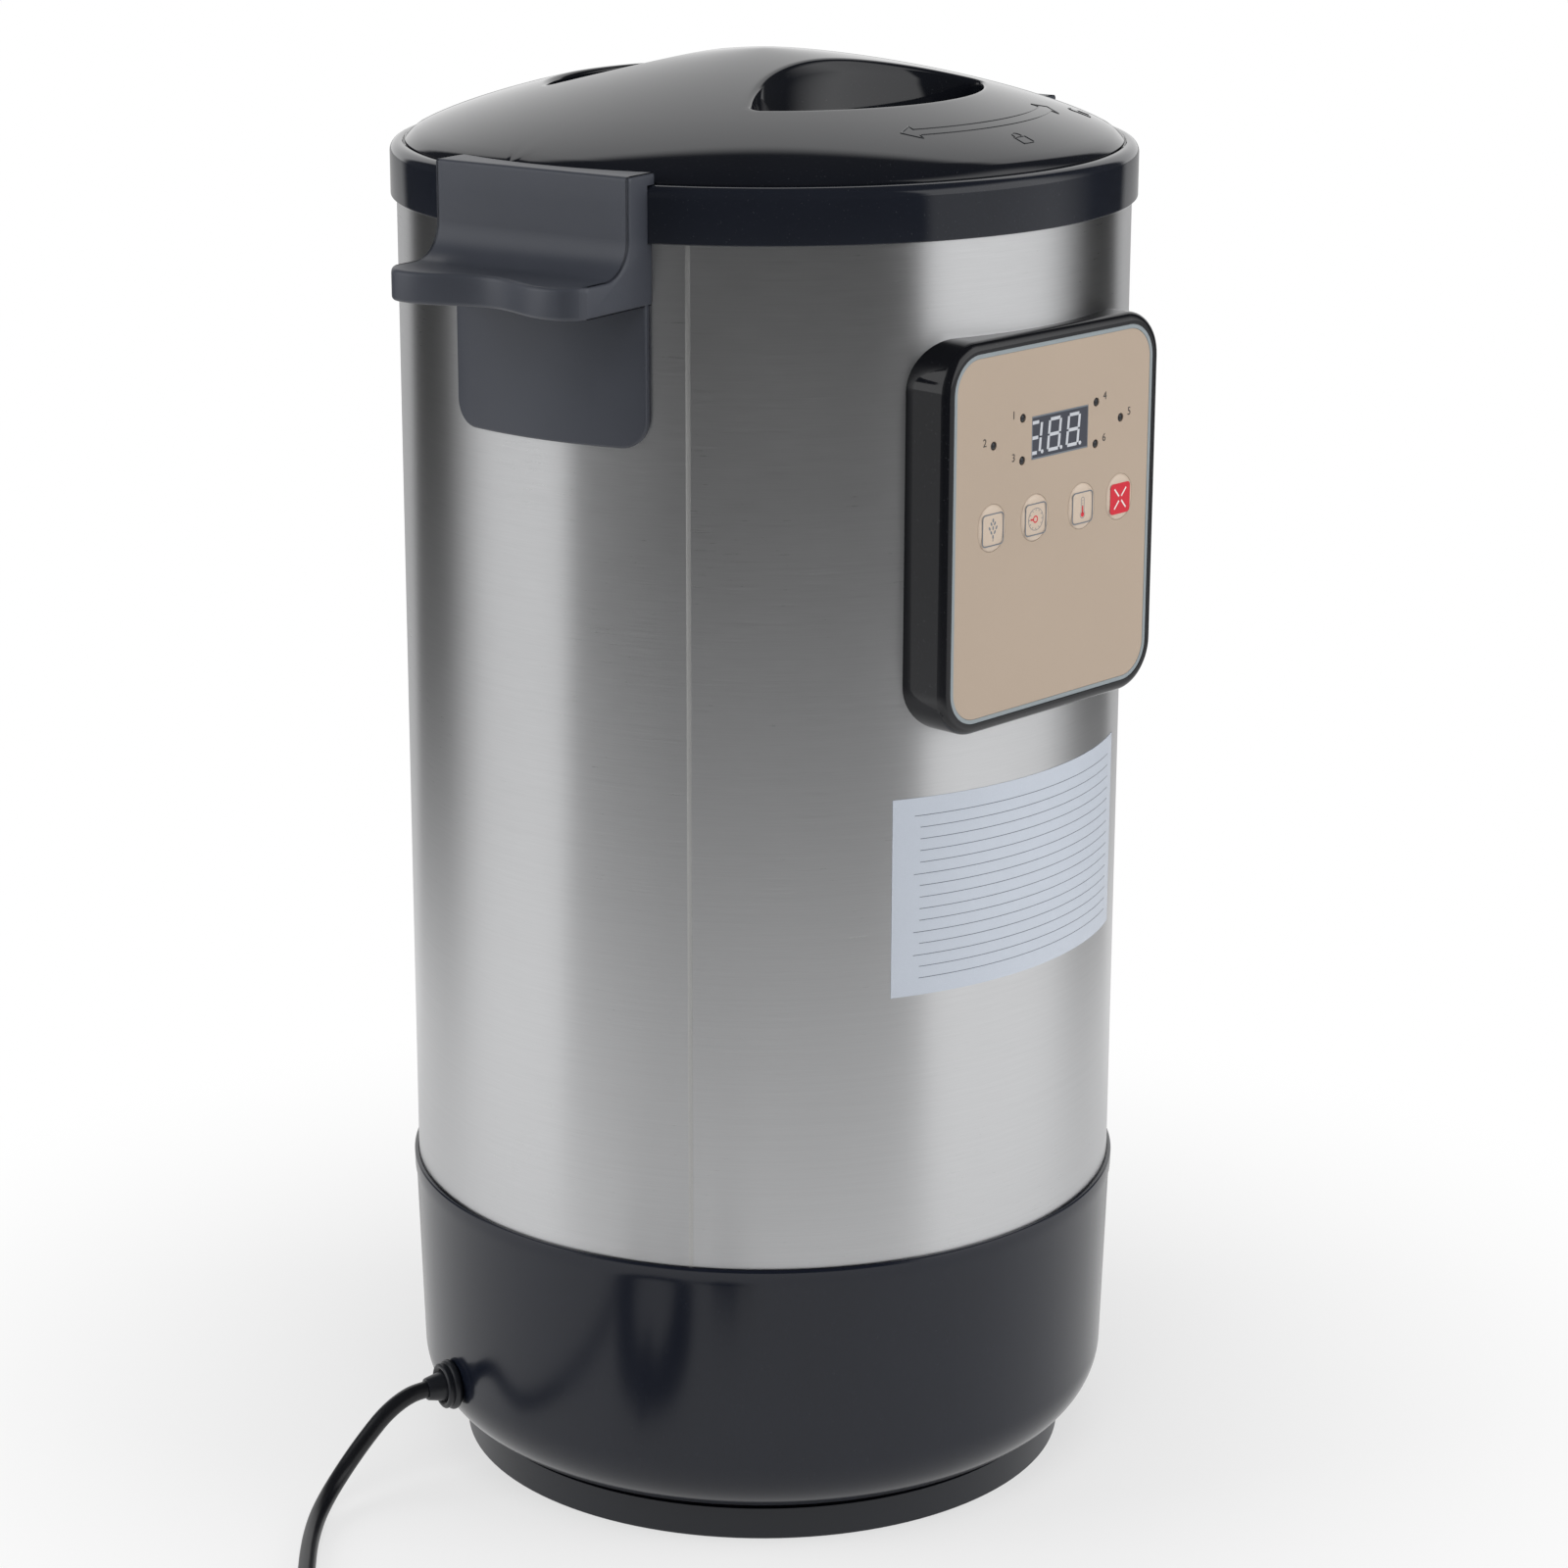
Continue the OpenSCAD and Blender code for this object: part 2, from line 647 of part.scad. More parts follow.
module panel_housing() {
    color("#101012") difference() {
        union() {
            difference() {
                out(box_root, face_d) box_shape(0);
                cylinder(r = body_r + touch, h = collar_z);
                intersection() {
                    ring(body_r + seal_rise, body_r - 5, box_z - box_h, box_z + box_h);
                    out(box_root, face_d) seal_shape(0);
                }
            }
            out(tub_d, face_d - 3) square([tub_w, tub_h], center = true);
        }
        out(recess_d, face_d + past) box_shape(box_rim);
        out(tub_floor, face_d) square([tub_w - 2 * tub_wall, tub_h - 2 * tub_wall], center = true);
        at_box_screws() disc(1.55, body_r - 5, body_r + 8);
    }
    color("#101012") for (p = pcb_posts) difference() {
        out(tub_floor, pcb_d) translate(p) circle(3);
        out(tub_floor + 1, pcb_d + past) translate(p) circle(1.1);
    }
}
module panel_gasket() {
    color("#3a3a3a") intersection() {
        ring(body_r + seal_rise - touch, body_r + touch, box_z - box_h, box_z + box_h);
        out(box_root, face_d) seal_shape(touch);
    }
}
module panel_screws() {
    color("silver") at_box_screws() {
        disc(3.2, shell_in - 2.6, shell_in - 0.1);
        disc(1.5, shell_in - 1, shell_in + 7);
    }
}
module key_shape(grow = 0) {
    r = key_w / 2 + grow;
    for (s = [-1, 1]) translate([0, s * (key_h - key_w) / 2]) circle(r);
    square([2 * r, key_h - key_w], center = true);
}
module faceplate() {
    color("#bfae9e") difference() {
        out(recess_d, film_d) soft_rect(face_w, face_h, face_corner);
        out(recess_d - past, face_d + past) {
            translate(display_at) square([display_w, display_h], center = true);
            for (p = led_at) translate(p) circle(led_r + touch);
            for (p = key_at) translate(p) key_shape(fit);
        }
    }
}
module panel_border() {
    color("#9aa2a6") difference() {
        out(recess_d, face_d - 0.2) box_shape(box_rim + 0.1);
        out(recess_d - past, face_d + past) soft_rect(face_w + 0.2, face_h + 0.2, face_corner);
    }
}
module display_window() {
    color("#4a4d57") out(recess_d, face_d - 0.35) translate(display_at)
        square([display_w - 0.2, display_h - 0.2], center = true);
}
module display_module() {
    color("#202124") out(pcb_front, recess_d - 0.2) translate(display_at)
        square([display_w + 5.2, display_h + 3], center = true);
}
module indicator_leds() {
    color("#1e1f24") for (p = led_at) out(pcb_front, face_d - 0.6) translate(p) circle(led_r);
}
module control_board() {
    color("#3f6b3c") difference() {
        out(pcb_d, pcb_front) square([tub_w - 10, tub_h - 6], center = true);
        out(pcb_d - past, pcb_front + past) for (p = pcb_posts) translate(p) circle(1.4);
    }
}
module control_board_screws() {
    color("silver") for (p = pcb_posts) {
        out(tub_floor + 1.2, pcb_front + 1) translate(p) circle(1.05);
        out(pcb_front, pcb_front + 1.6) translate(p) circle(2.4);
    }
}
switch_w = 6;
switch_h = 3.4;
switch_top = pcb_front + switch_h + 0.8;
module tact_switches() {
    color("#2b2b2e") for (p = key_at) {
        out(pcb_front, pcb_front + switch_h) translate(p) square(switch_w, center = true);
        out(pcb_front, switch_top) translate(p) circle(1.7);
    }
}
buzzer_at = [24, -30];
module buzzer() {
    color("#18181a") out(pcb_front, pcb_front + 5) translate(buzzer_at) circle(6);
}
key_rise = 0.4;                              // how far a key stands out from the box's face
module key(i) {
    color("#cdbfb0") {
        out(switch_top + key_travel + touch, recess_d) translate(key_at[i]) circle(2.2);
        out(recess_d - 1, face_d + key_rise) translate(key_at[i]) key_shape();
    }
}
module key_mode() {
    key(0);
}
module key_time() {
    key(1);
}
module key_temperature() {
    key(2);
}
module key_cancel() {
    key(3);
}

/* Lid */
dome_flat = 1.375;                           // the dome's curve: how flat it is in the middle
dome_fall = 0.744;                           // and how steeply it falls at the rim
dome_rings = 16;
pocket_wall = 2;
pocket_floor = lid_bottom + pocket_wall;
pocket_bow = 89.4;                           // radius of the pockets' edge on the bridge side
boss_at = tank_r - 16;
lid_bosses = 4;
liner_post = 4;
function dome(r) = lid_z + dome_h * pow(1 - pow(r / lid_r, dome_flat), dome_fall);
dome_steps = [for (i = [0:dome_rings]) lid_r * (1 - pow(1 - i / dome_rings, 1.6))];
module dome_solid(down) {
    low = lid_bottom - (down > 0 ? past : 0);
    share = (lid_r - down) / lid_r;
    curve = [for (r = turned(dome_steps)) [r * share, dome(r) - down]];
    rotate_extrude() polygon(concat([[0, low], [lid_r - down, low]], curve));
}
module pocket_shape(grow) {
    intersection() {
        circle(pocket_r + grow);
        translate([0, -bridge_w / 2 - pocket_bow]) circle(pocket_bow + grow);
    }
}
module pockets(z, grow) {
    for (m = [0, 1]) mirror([0, m, 0]) translate([0, 0, z]) linear_extrude(2 * dome_h) pocket_shape(grow);
}
module lid_dome() {
    color("#0e0e10") difference() {
        intersection() {
            dome_solid(0);
            union() {
                difference() {
                    dome_solid(0);
                    dome_solid(lid_t);
                }
                pockets(lid_bottom, pocket_wall);
                around(lid_bosses, boss_at) disc(liner_post, lid_bottom, lid_bottom + 2 * dome_h);
            }
        }
        pockets(pocket_floor, 0);
        around(lid_bosses, boss_at) disc(1.5, lid_bottom - past, lid_bottom + 8);
    }
}
module lid_liner() {
    color("#c6c8ca") difference() {
        union() {
            disc(skirt_r, liner_z, liner_z + liner_t);
            ring(skirt_r, skirt_r - 1.8, lug_z, lid_bottom - 2);
            ring(tank_r - 0.5, tank_r - 2.2, flange_top + 1.6, liner_z + 0.5);
            for (i = [0:lug_count - 1]) {
                middle = 360 * i / lug_count;
                ring_part(neck_r - 0.8, skirt_r - 0.5, lug_z, lug_z + lug_h, middle - lug_angle / 2,
                    middle + lug_angle / 2);
            }
            around(lid_bosses, boss_at) disc(liner_post, liner_z, lid_bottom);
        }
        around(lid_bosses, boss_at) disc(1.8, liner_z - past, lid_bottom + past);
    }
}
module lid_screws() {
    color("silver") around(lid_bosses, boss_at) {
        disc(3.4, liner_z - 2, liner_z);
        disc(1.45, liner_z - 1, lid_bottom + 7);
    }
}
module lid_seal() {
    color("#dcdcd6") ring(tank_r + 3.2, tank_r - 0.2, flange_top + fit, liner_z - fit);
}

base_cup();
bottom_cover();
foot_pads();
bottom_screws();
shell();
shell_screws();
heat_shield();
felt_jacket();
tank();
tank_gasket();
collar();
handle_left();
handle_right();
handle_screws();
info_label();
heater_plate();
heater_ring();
heater_studs();
thermal_cutout();
thermal_fuse();
temperature_sensor();
power_board();
transformer();
relay();
fuse();
terminal_block();
power_board_screws();
wire_harness();
mains_lead();
cord_grommet();
power_cord();
cord_coil();
cord_tie();
plug_body();
plug_pins();
panel_housing();
panel_gasket();
panel_screws();
faceplate();
panel_border();
display_window();
display_module();
indicator_leds();
control_board();
control_board_screws();
tact_switches();
buzzer();
key_mode();
key_time();
key_temperature();
key_cancel();
lid_dome();
lid_liner();
lid_screws();
lid_seal();
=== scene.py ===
import math

import bmesh
import bpy
from mathutils import Matrix, Vector


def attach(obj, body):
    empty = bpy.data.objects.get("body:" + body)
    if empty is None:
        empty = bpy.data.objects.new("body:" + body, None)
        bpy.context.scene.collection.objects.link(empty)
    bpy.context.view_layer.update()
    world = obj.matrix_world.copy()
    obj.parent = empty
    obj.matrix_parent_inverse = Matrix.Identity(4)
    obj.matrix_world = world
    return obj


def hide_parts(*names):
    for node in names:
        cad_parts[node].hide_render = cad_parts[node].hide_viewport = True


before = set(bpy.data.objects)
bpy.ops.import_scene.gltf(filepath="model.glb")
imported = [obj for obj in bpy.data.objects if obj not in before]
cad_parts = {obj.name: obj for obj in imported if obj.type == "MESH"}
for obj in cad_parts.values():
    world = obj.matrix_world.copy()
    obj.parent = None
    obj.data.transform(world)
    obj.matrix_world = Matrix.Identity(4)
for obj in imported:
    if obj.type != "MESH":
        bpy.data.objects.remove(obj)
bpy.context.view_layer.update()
print("frame loaded:", len(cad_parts), "nodes")

mm = 0.001
scene = bpy.context.scene


def addObject(name, data):
    made = bpy.data.objects.new(name, data)
    scene.collection.objects.link(made)
    return made


def rotation(degrees, axis="Z", size=4):
    return Matrix.Rotation(math.radians(degrees), size, axis)


# sizes that several pieces share, in millimetres
pot = {"bodyR": 140, "shellT": 0.8, "baseH": 120.2, "ledgeZ": 104, "collarZ": 506.4, "collarTop": 526.7,
       "collarR": 142.28, "lidR": 136.5, "lidZ": 527.5, "domeH": 32.5, "lidBottom": 525.2, "boxZ": 398.7,
       "faceD": 145.3, "recessD": 143.8, "seamAngle": -58, "touch": 0.15}


view = {"place": (-1.1369, -1.0639, 0.7272), "turn": 47.2, "tilt": 16.38, "roll": 0.18, "lens": 93.49,
        "sensor": 36}


def addCamera():
    data = bpy.data.cameras.new("camera")
    data.lens = view["lens"]
    data.sensor_width = view["sensor"]
    data.clip_end = 60
    cam = addObject("camera", data)
    turn, tilt = math.radians(view["turn"]), math.radians(view["tilt"])
    ahead = Vector((math.cos(tilt) * math.sin(turn), math.cos(tilt) * math.cos(turn), -math.sin(tilt)))
    turned = ahead.to_track_quat("-Z", "Y").to_matrix() @ rotation(view["roll"], size=3)
    cam.matrix_world = Matrix.Translation(view["place"]) @ turned.to_4x4()
    scene.camera = cam


addCamera()
print("camera placed")


class Wire:
    # a socket that can be added, multiplied and so on
    def __init__(self, socket):
        self.socket = socket
        self.tree = socket.id_data

    def node(self, kind, settings=None, sockets=None, out=0):
        made = self.tree.nodes.new(kind)
        for name, value in (settings or {}).items():
            setattr(made, name, value)
        for name, value in (sockets or {}).items():
            if isinstance(value, Wire):
                self.tree.links.new(value.socket, made.inputs[name])
            else:
                made.inputs[name].default_value = value
        return Wire(made.outputs[out])

    def sum(self, operation, *others):
        values = dict(enumerate((self,) + others))
        return self.node("ShaderNodeMath", {"operation": operation}, values)

    def flipped(self, operation, other):
        return self.node("ShaderNodeMath", {"operation": operation}, {0: other, 1: self})

    def __add__(self, other):
        return self.sum("ADD", other)

    def __radd__(self, other):
        return self.sum("ADD", other)

    def __sub__(self, other):
        return self.sum("SUBTRACT", other)

    def __rsub__(self, other):
        return self.flipped("SUBTRACT", other)

    def __mul__(self, other):
        return self.sum("MULTIPLY", other)

    def __rmul__(self, other):
        return self.sum("MULTIPLY", other)

    def __truediv__(self, other):
        return self.sum("DIVIDE", other)

    def __rtruediv__(self, other):
        return self.flipped("DIVIDE", other)

    def __pow__(self, other):
        return self.sum("POWER", other)

    def step(self, low, high):
        # 0 at low, 1 at high, smooth between
        sockets = {0: self, 1: low, 2: high, 3: 0.0, 4: 1.0}
        return self.node("ShaderNodeMapRange", {"interpolation_type": "SMOOTHSTEP"}, sockets)

    def part(self, index):
        return self.node("ShaderNodeSeparateXYZ", sockets={0: self}, out=index)

    def noise(self, scale, detail=2.0, rough=0.5):
        sockets = {"Vector": self, "Scale": scale, "Detail": detail, "Roughness": rough}
        return self.node("ShaderNodeTexNoise", sockets=sockets)

    def blend(self, first, second):
        # self is the share of the second colour
        sockets = {0: self, 6: first, 7: second}
        return self.node("ShaderNodeMix", {"data_type": "RGBA"}, sockets, out=2)


def joined(x, y, z):
    some = next(value for value in (x, y, z) if isinstance(value, Wire))
    return some.node("ShaderNodeCombineXYZ", sockets={0: x, 1: y, 2: z})


def rgb(code):
    # a written colour as the shader's own linear one
    parts = [int(code[i:i + 2], 16) / 255 for i in (1, 3, 5)]
    return tuple(c / 12.92 if c <= 0.04045 else ((c + 0.055) / 1.055) ** 2.4 for c in parts) + (1,)


def shaded(tone, factor, lift=0.0):
    # a colour made lighter or darker
    return tuple(min(1, c * factor + lift) for c in tone[:3]) + (1,)


finish = {}  # every finish by its name


def startFinish(name, values=None):
    material = bpy.data.materials.new(name)
    material.use_nodes = True
    shader = material.node_tree.nodes["Principled BSDF"]
    for socket, value in (values or {}).items():
        shader.inputs[socket].default_value = value
    coord = material.node_tree.nodes.new("ShaderNodeTexCoord")
    finish[name] = material
    return shader, Wire(coord.outputs["Object"])


def feed(shader, name, wire):
    wire.tree.links.new(wire.socket, shader.inputs[name])


def addBump(shader, height, distance, strength=1.0):
    sockets = {"Strength": strength, "Distance": distance, "Height": height}
    feed(shader, "Normal", height.node("ShaderNodeBump", sockets=sockets))


def brushedSteel(name, tone, roughness, turn=0.0, lengthwise=70, across=2600, spread=0.8):
    # fine lines run round the axis
    shader, place = startFinish(
        name, {"Metallic": 1.0, "Anisotropic": spread, "Anisotropic Rotation": 0.25})
    sockets = {"Vector": place, "Rotation": (0, 0, math.radians(turn))}
    turned = place.node("ShaderNodeMapping", {"vector_type": "POINT"}, sockets)
    angle = turned.part(1).sum("ARCTAN2", turned.part(0)) * (pot["bodyR"] * mm)
    flow = joined(angle * lengthwise, place.part(2) * across, 0.0)
    lines = flow.noise(1.0, 3.0, 0.6)
    longLines = joined(angle * 9, place.part(2) * 700, 3.0).noise(1.0, 2.0)
    cloud = joined(angle * 14, place.part(2) * 11, 7.0).noise(1.0, 3.0, 0.55)
    shade = (lines - 0.5) * 0.10 + (longLines - 0.5) * 0.06 + (cloud - 0.5) * 0.05
    feed(shader, "Base Color", (0.5 + shade * 4).blend(shaded(tone, 0.86), shaded(tone, 1.12)))
    feed(shader, "Roughness", roughness + (lines - 0.5) * 0.10 + (cloud - 0.5) * 0.06)
    addBump(shader, lines * 0.6 + longLines * 0.4, 0.00006, 0.6)


def plainSteel(name, tone, roughness):
    shader, place = startFinish(name, {"Metallic": 1.0})
    marks = place.noise(900, 3.0)
    cloud = place.noise(30, 2.0)
    feed(shader, "Base Color", (marks * 0.5 + cloud * 0.5).blend(shaded(tone, 0.82), tone + (1,)))
    feed(shader, "Roughness", roughness + (cloud - 0.5) * 0.14)
    addBump(shader, marks, 0.00004, 0.5)


def mouldedPlastic(name, colour, roughness, grain=0.0, grainSize=900, wave=0.0, coat=0.0, dust=0.0):
    shader, place = startFinish(name, {"Coat Weight": coat, "Coat Roughness": 0.04})
    tone = rgb(colour)
    cloud = place.noise(24, 2.0)
    specks = place.noise(1500, 1.0).step(0.70, 0.80)
    base = cloud.blend(shaded(tone, 0.86), shaded(tone, 1.18, 0.001))
    if dust:
        base = (specks * dust).blend(base, (0.30, 0.31, 0.33, 1))
    feed(shader, "Base Color", base)
    feed(shader, "Roughness", roughness + (cloud - 0.5) * roughness * 0.35 + specks * dust * 0.5)
    height = place.noise(grainSize, 2.0) * grain + place.noise(26, 1.0) * wave
    if grain or wave:
        addBump(shader, height, 0.001, 1.0)


def filmFinish(name, colour, roughness=0.34):
    # a printed film with a fine pearly fleck
    shader, place = startFinish(name, {"Coat Weight": 0.25, "Coat Roughness": 0.25})
    tone = rgb(colour)
    fleck = place.noise(5200, 1.0).step(0.45, 0.75)
    cloud = place.noise(16, 1.0)
    feed(shader, "Base Color", (fleck * 0.6 + cloud * 0.4).blend(shaded(tone, 0.95), shaded(tone, 1.10)))
    feed(shader, "Roughness", roughness + fleck * 0.08)
    addBump(shader, place.noise(1400, 2.0), 0.00003, 0.5)


def feltFinish(name, colour):
    shader, place = startFinish(name, {"Roughness": 0.95, "Sheen Weight": 0.4})
    hairs = place.noise(1600, 4.0, 0.7)
    tone = rgb(colour)
    feed(shader, "Base Color", hairs.blend(shaded(tone, 0.7), tone))
    addBump(shader, hairs, 0.0006, 1.0)


def boardFinish(name):
    # solder mask over copper tracks
    shader, place = startFinish(name, {"Roughness": 0.35})
    tracks = place.node("ShaderNodeTexBrick", sockets={"Vector": place, "Scale": 60.0}, out=1)
    feed(shader, "Base Color", tracks.blend(rgb("#2c5a31"), rgb("#3f7a44")))
    addBump(shader, tracks, 0.00005, 0.6)


brushedSteel("drumSteel", (0.695, 0.70, 0.71), 0.30, turn=-32)
plainSteel("seamSteel", (0.80, 0.80, 0.79), 0.55)
brushedSteel("tankSteel", (0.66, 0.66, 0.66), 0.30, spread=0.6)
plainSteel("sheetSteel", (0.60, 0.60, 0.60), 0.34)
plainSteel("screwZinc", (0.55, 0.56, 0.57), 0.28)
plainSteel("castAluminium", (0.58, 0.58, 0.59), 0.48)
plainSteel("pinMetal", (0.62, 0.52, 0.30), 0.22)
mouldedPlastic("lidGloss", "#15171d", 0.055, wave=0.012, dust=0.10)
mouldedPlastic("collarGloss", "#1b1e26", 0.07, wave=0.006, dust=0.10)
mouldedPlastic("boxGloss", "#121317", 0.06, wave=0.008, dust=0.12)
mouldedPlastic("handleSatin", "#3d4048", 0.40, grain=0.028, grainSize=1500)
mouldedPlastic("baseSatin", "#151924", 0.17, wave=0.010, dust=0.05)
mouldedPlastic("footPlastic", "#181b22", 0.36, grain=0.010, grainSize=1100)
mouldedPlastic("cordRubber", "#15161a", 0.34, grain=0.010, grainSize=1300)
mouldedPlastic("grommetRubber", "#1b1d22", 0.38, grain=0.010, grainSize=1200)
mouldedPlastic("padRubber", "#1a1a1c", 0.70, grain=0.03, grainSize=900)
mouldedPlastic("sealSilicone", "#d8d7cf", 0.45, grain=0.008, grainSize=700)
filmFinish("faceFilm", "#b4a290")
# the key pads: the face film's beige painted lighter, a painted highlight on the raised pads
filmFinish("keyFilmPaintedHighlight", "#cbb9a7", 0.30)
filmFinish("borderSilver", "#8f989c", 0.30)
filmFinish("labelFilm", "#c4cbd6", 0.42)
mouldedPlastic("windowSmoke", "#3b3e48", 0.10, dust=0.03)
mouldedPlastic("digitGrey", "#c6c9cf", 0.35, dust=0.03)
mouldedPlastic("lensDark", "#1c1d22", 0.12, dust=0.02)
mouldedPlastic("inkBlack", "#26262a", 0.40, dust=0.02)
mouldedPlastic("inkGrey", "#6c747d", 0.40, dust=0.02)
mouldedPlastic("inkPale", "#eee9e4", 0.40, dust=0.01)
mouldedPlastic("inkRed", "#cf1f33", 0.32, dust=0.02)
mouldedPlastic("ruleGrey", "#6f7681", 0.50, dust=0.02)
feltFinish("feltWool", "#e6e1d5")
boardFinish("boardGreen")
mouldedPlastic("partBlack", "#1d1d20", 0.45, grain=0.01)
mouldedPlastic("partWhite", "#dddcd6", 0.45, grain=0.01)
mouldedPlastic("partBlue", "#2b5ea6", 0.40, grain=0.01)
mouldedPlastic("partYellow", "#c8ad35", 0.50, grain=0.01)
mouldedPlastic("partTan", "#b59a62", 0.50, grain=0.01)
mouldedPlastic("glassTube", "#dfe3e6", 0.08, dust=0.01)
print("finishes made:", len(finish))


def finishPiece(name, bm, finishName, body, replaced=(), sharp=38, tidy=True):
    if tidy:
        bmesh.ops.remove_doubles(bm, verts=bm.verts, dist=0.000002)
        bmesh.ops.recalc_face_normals(bm, faces=bm.faces)
    mesh = bpy.data.meshes.new(name)
    bm.to_mesh(mesh)
    bm.free()
    mesh.polygons.foreach_set("use_smooth", [True] * len(mesh.polygons))
    mesh.set_sharp_from_angle(angle=math.radians(sharp))
    mesh.materials.append(finish[finishName])
    piece = addObject(name, mesh)
    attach(piece, body)
    if replaced:
        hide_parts(*replaced)
    return piece


def vertsIn(items):
    return [item for item in items if isinstance(item, bmesh.types.BMVert)]


def startRing(bm, places, closed=True):
    ring = [bm.verts.new(place) for place in places]
    for i in range(len(ring) if closed else len(ring) - 1):
        bm.edges.new((ring[i], ring[(i + 1) % len(ring)]))
    return ring


def pullRing(bm, ring, places, closed=True):
    # extrudes a ring of vertices and sets the new ones down
    count = len(ring) if closed else len(ring) - 1
    edges = [bm.edges.get((ring[i], ring[(i + 1) % len(ring)])) for i in range(count)]
    fresh = set(vertsIn(bmesh.ops.extrude_edge_only(bm, edges=edges)["geom"]))
    pulled = [next(e.other_vert(v) for e in v.link_edges if e.other_vert(v) in fresh) for v in ring]
    for vert, place in zip(pulled, places):
        vert.co = place
    return pulled


def spinProfile(bm, points, steps=192, angle=360, start=0, closed=True):
    # turns a profile of (radius, height) points in millimetres about the axis
    ring = startRing(bm, [Vector((r * mm, 0, z * mm)) for r, z in points], closed)
    edges = {edge for vert in ring for edge in vert.link_edges}
    if start:
        bmesh.ops.rotate(bm, verts=ring, cent=(0, 0, 0), matrix=rotation(start, size=3))
    if angle < 360:
        bmesh.ops.contextual_create(bm, geom=list(edges))
        edges = {edge for vert in ring for edge in vert.link_edges}
        edges |= {face for vert in ring for face in vert.link_faces}
    bmesh.ops.spin(bm, geom=ring + list(edges), cent=(0, 0, 0), axis=(0, 0, 1), dvec=(0, 0, 0),
                   angle=math.radians(angle), steps=steps, use_merge=angle == 360, use_duplicate=False)


def arc(centre, r, first, last, steps):
    # points of (radius, height) along an arc, angles in degrees
    angles = [math.radians(first + (last - first) * i / steps) for i in range(steps + 1)]
    return [(centre[0] + r * math.cos(a), centre[1] + r * math.sin(a)) for a in angles]


def addPlate(bm, width, height, corner, thick, edge=0.0, steps=10):
    # a plate with round corners, its back on the ground and its face up; gives back its face
    before = set(bm.verts)
    bmesh.ops.create_grid(bm, x_segments=1, y_segments=1, size=0.5)
    verts = [v for v in bm.verts if v not in before]
    bmesh.ops.scale(bm, vec=(width * mm, height * mm, 1), verts=verts)
    bmesh.ops.bevel(bm, geom=verts, offset=corner * mm, segments=steps, profile=0.5, affect="VERTICES",
                    material=-1)
    faces = [f for f in bm.faces if not any(v in before for v in f.verts)]
    face = max(faces, key=lambda f: f.calc_area())
    made = bmesh.ops.extrude_face_region(bm, geom=[face])["geom"]
    top = next(item for item in made if isinstance(item, bmesh.types.BMFace))
    bmesh.ops.translate(bm, vec=(0, 0, thick * mm), verts=top.verts)
    if edge:
        bmesh.ops.bevel(bm, geom=list(top.edges), offset=edge * mm, segments=4, profile=0.5,
                        affect="EDGES", material=-1)
        faces = [f for f in bm.faces if not any(v in before for v in f.verts)]
        top = max(faces, key=lambda f: (round(f.calc_center_median().z, 7), f.calc_area()))
    return top


def onBox(depth, at=(0, 0)):
    # from a flat drawing to the control box, at a distance from the drum's axis
    return Matrix(((1, 0, 0, at[0] * mm), (0, 0, -1, -depth * mm), (0, 1, 0, (pot["boxZ"] + at[1]) * mm),
                   (0, 0, 0, 1)))


def addStroke(bm, points, width, matrix, thick=0.06, closed=False):
    # a flat printed line through points, in millimetres
    spots = [Vector((x, y, 0)) for x, y in points]
    count = len(spots)
    sides = []
    for i, spot in enumerate(spots):
        before = spots[(i - 1) % count] if closed or i else spot
        after = spots[(i + 1) % count] if closed or i < count - 1 else spot
        along = (after - before).normalized()
        sides.append(Vector((-along.y, along.x, 0)) * width / 2)
    if closed:
        spots, sides = spots + spots[:1], sides + sides[:1]
    lift = Vector((0, 0, thick))

    def section(i):
        left, right = spots[i] - sides[i], spots[i] + sides[i]
        return [matrix @ (p * mm) for p in (left, right, right + lift, left + lift)]

    ring = startRing(bm, section(0))
    if not closed:
        bm.faces.new(ring)
    for i in range(1, len(spots)):
        ring = pullRing(bm, ring, section(i))
    if not closed:
        bm.faces.new(ring)


def addBlob(bm, centre, rx, ry, matrix, thick=0.06, turn=0.0, segments=20):
    # a flat printed dot, drop or ring filling
    place = matrix @ Matrix.Translation(Vector((centre[0], centre[1], 0)) * mm) @ rotation(turn)
    place = place @ Matrix.Diagonal((rx * mm, ry * mm, 1, 1))
    made = bmesh.ops.create_circle(bm, cap_ends=True, radius=1, segments=segments, matrix=place)
    face = made["verts"][0].link_faces[0]
    top = bmesh.ops.extrude_face_region(bm, geom=[face])["geom"]
    lift = (matrix.to_3x3() @ Vector((0, 0, 1))) * thick * mm
    bmesh.ops.translate(bm, vec=lift, verts=vertsIn(top))


cord = {"r": 3.4, "exit": (-143.06, 49.26, 39.2), "coilAt": (-265, -75), "detail": 5,
        "run": [(-149, 51.2, 38.4), (-155, 53.1, 35.8), (-161, 54.9, 31.6), (-167, 56.4, 26),
                (-173.5, 57.5, 19.8), (-181, 57.6, 13.4), (-190, 55.4, 8), (-200, 50, 4.8),
                (-210.5, 41.6, 3.6), (-221, 31.6, 3.4), (-231.5, 20.6, 3.4), (-243, 8.4, 3.4),
                (-255.5, -5, 3.4), (-268, -17.2, 3.4), (-280.6, -29, 3.4)],
        "coil": [(133, 44.3, 3.4), (433, 44.3, 3.4), (493, 37.5, 3.4), (793, 37.5, 3.4),
                 (853, 30.7, 3.4), (1093, 30.7, 3.4), (1153, 30.7, 10.2), (1393, 30.7, 10.2),
                 (1453, 37.5, 10.2), (1753, 37.5, 10.2), (1813, 44.3, 10.2), (2023, 44.3, 10.2)],
        "tail": [(-283.8, -119.8, 10.2), (-275.3, -128.9, 10), (-266.8, -138, 10)]}


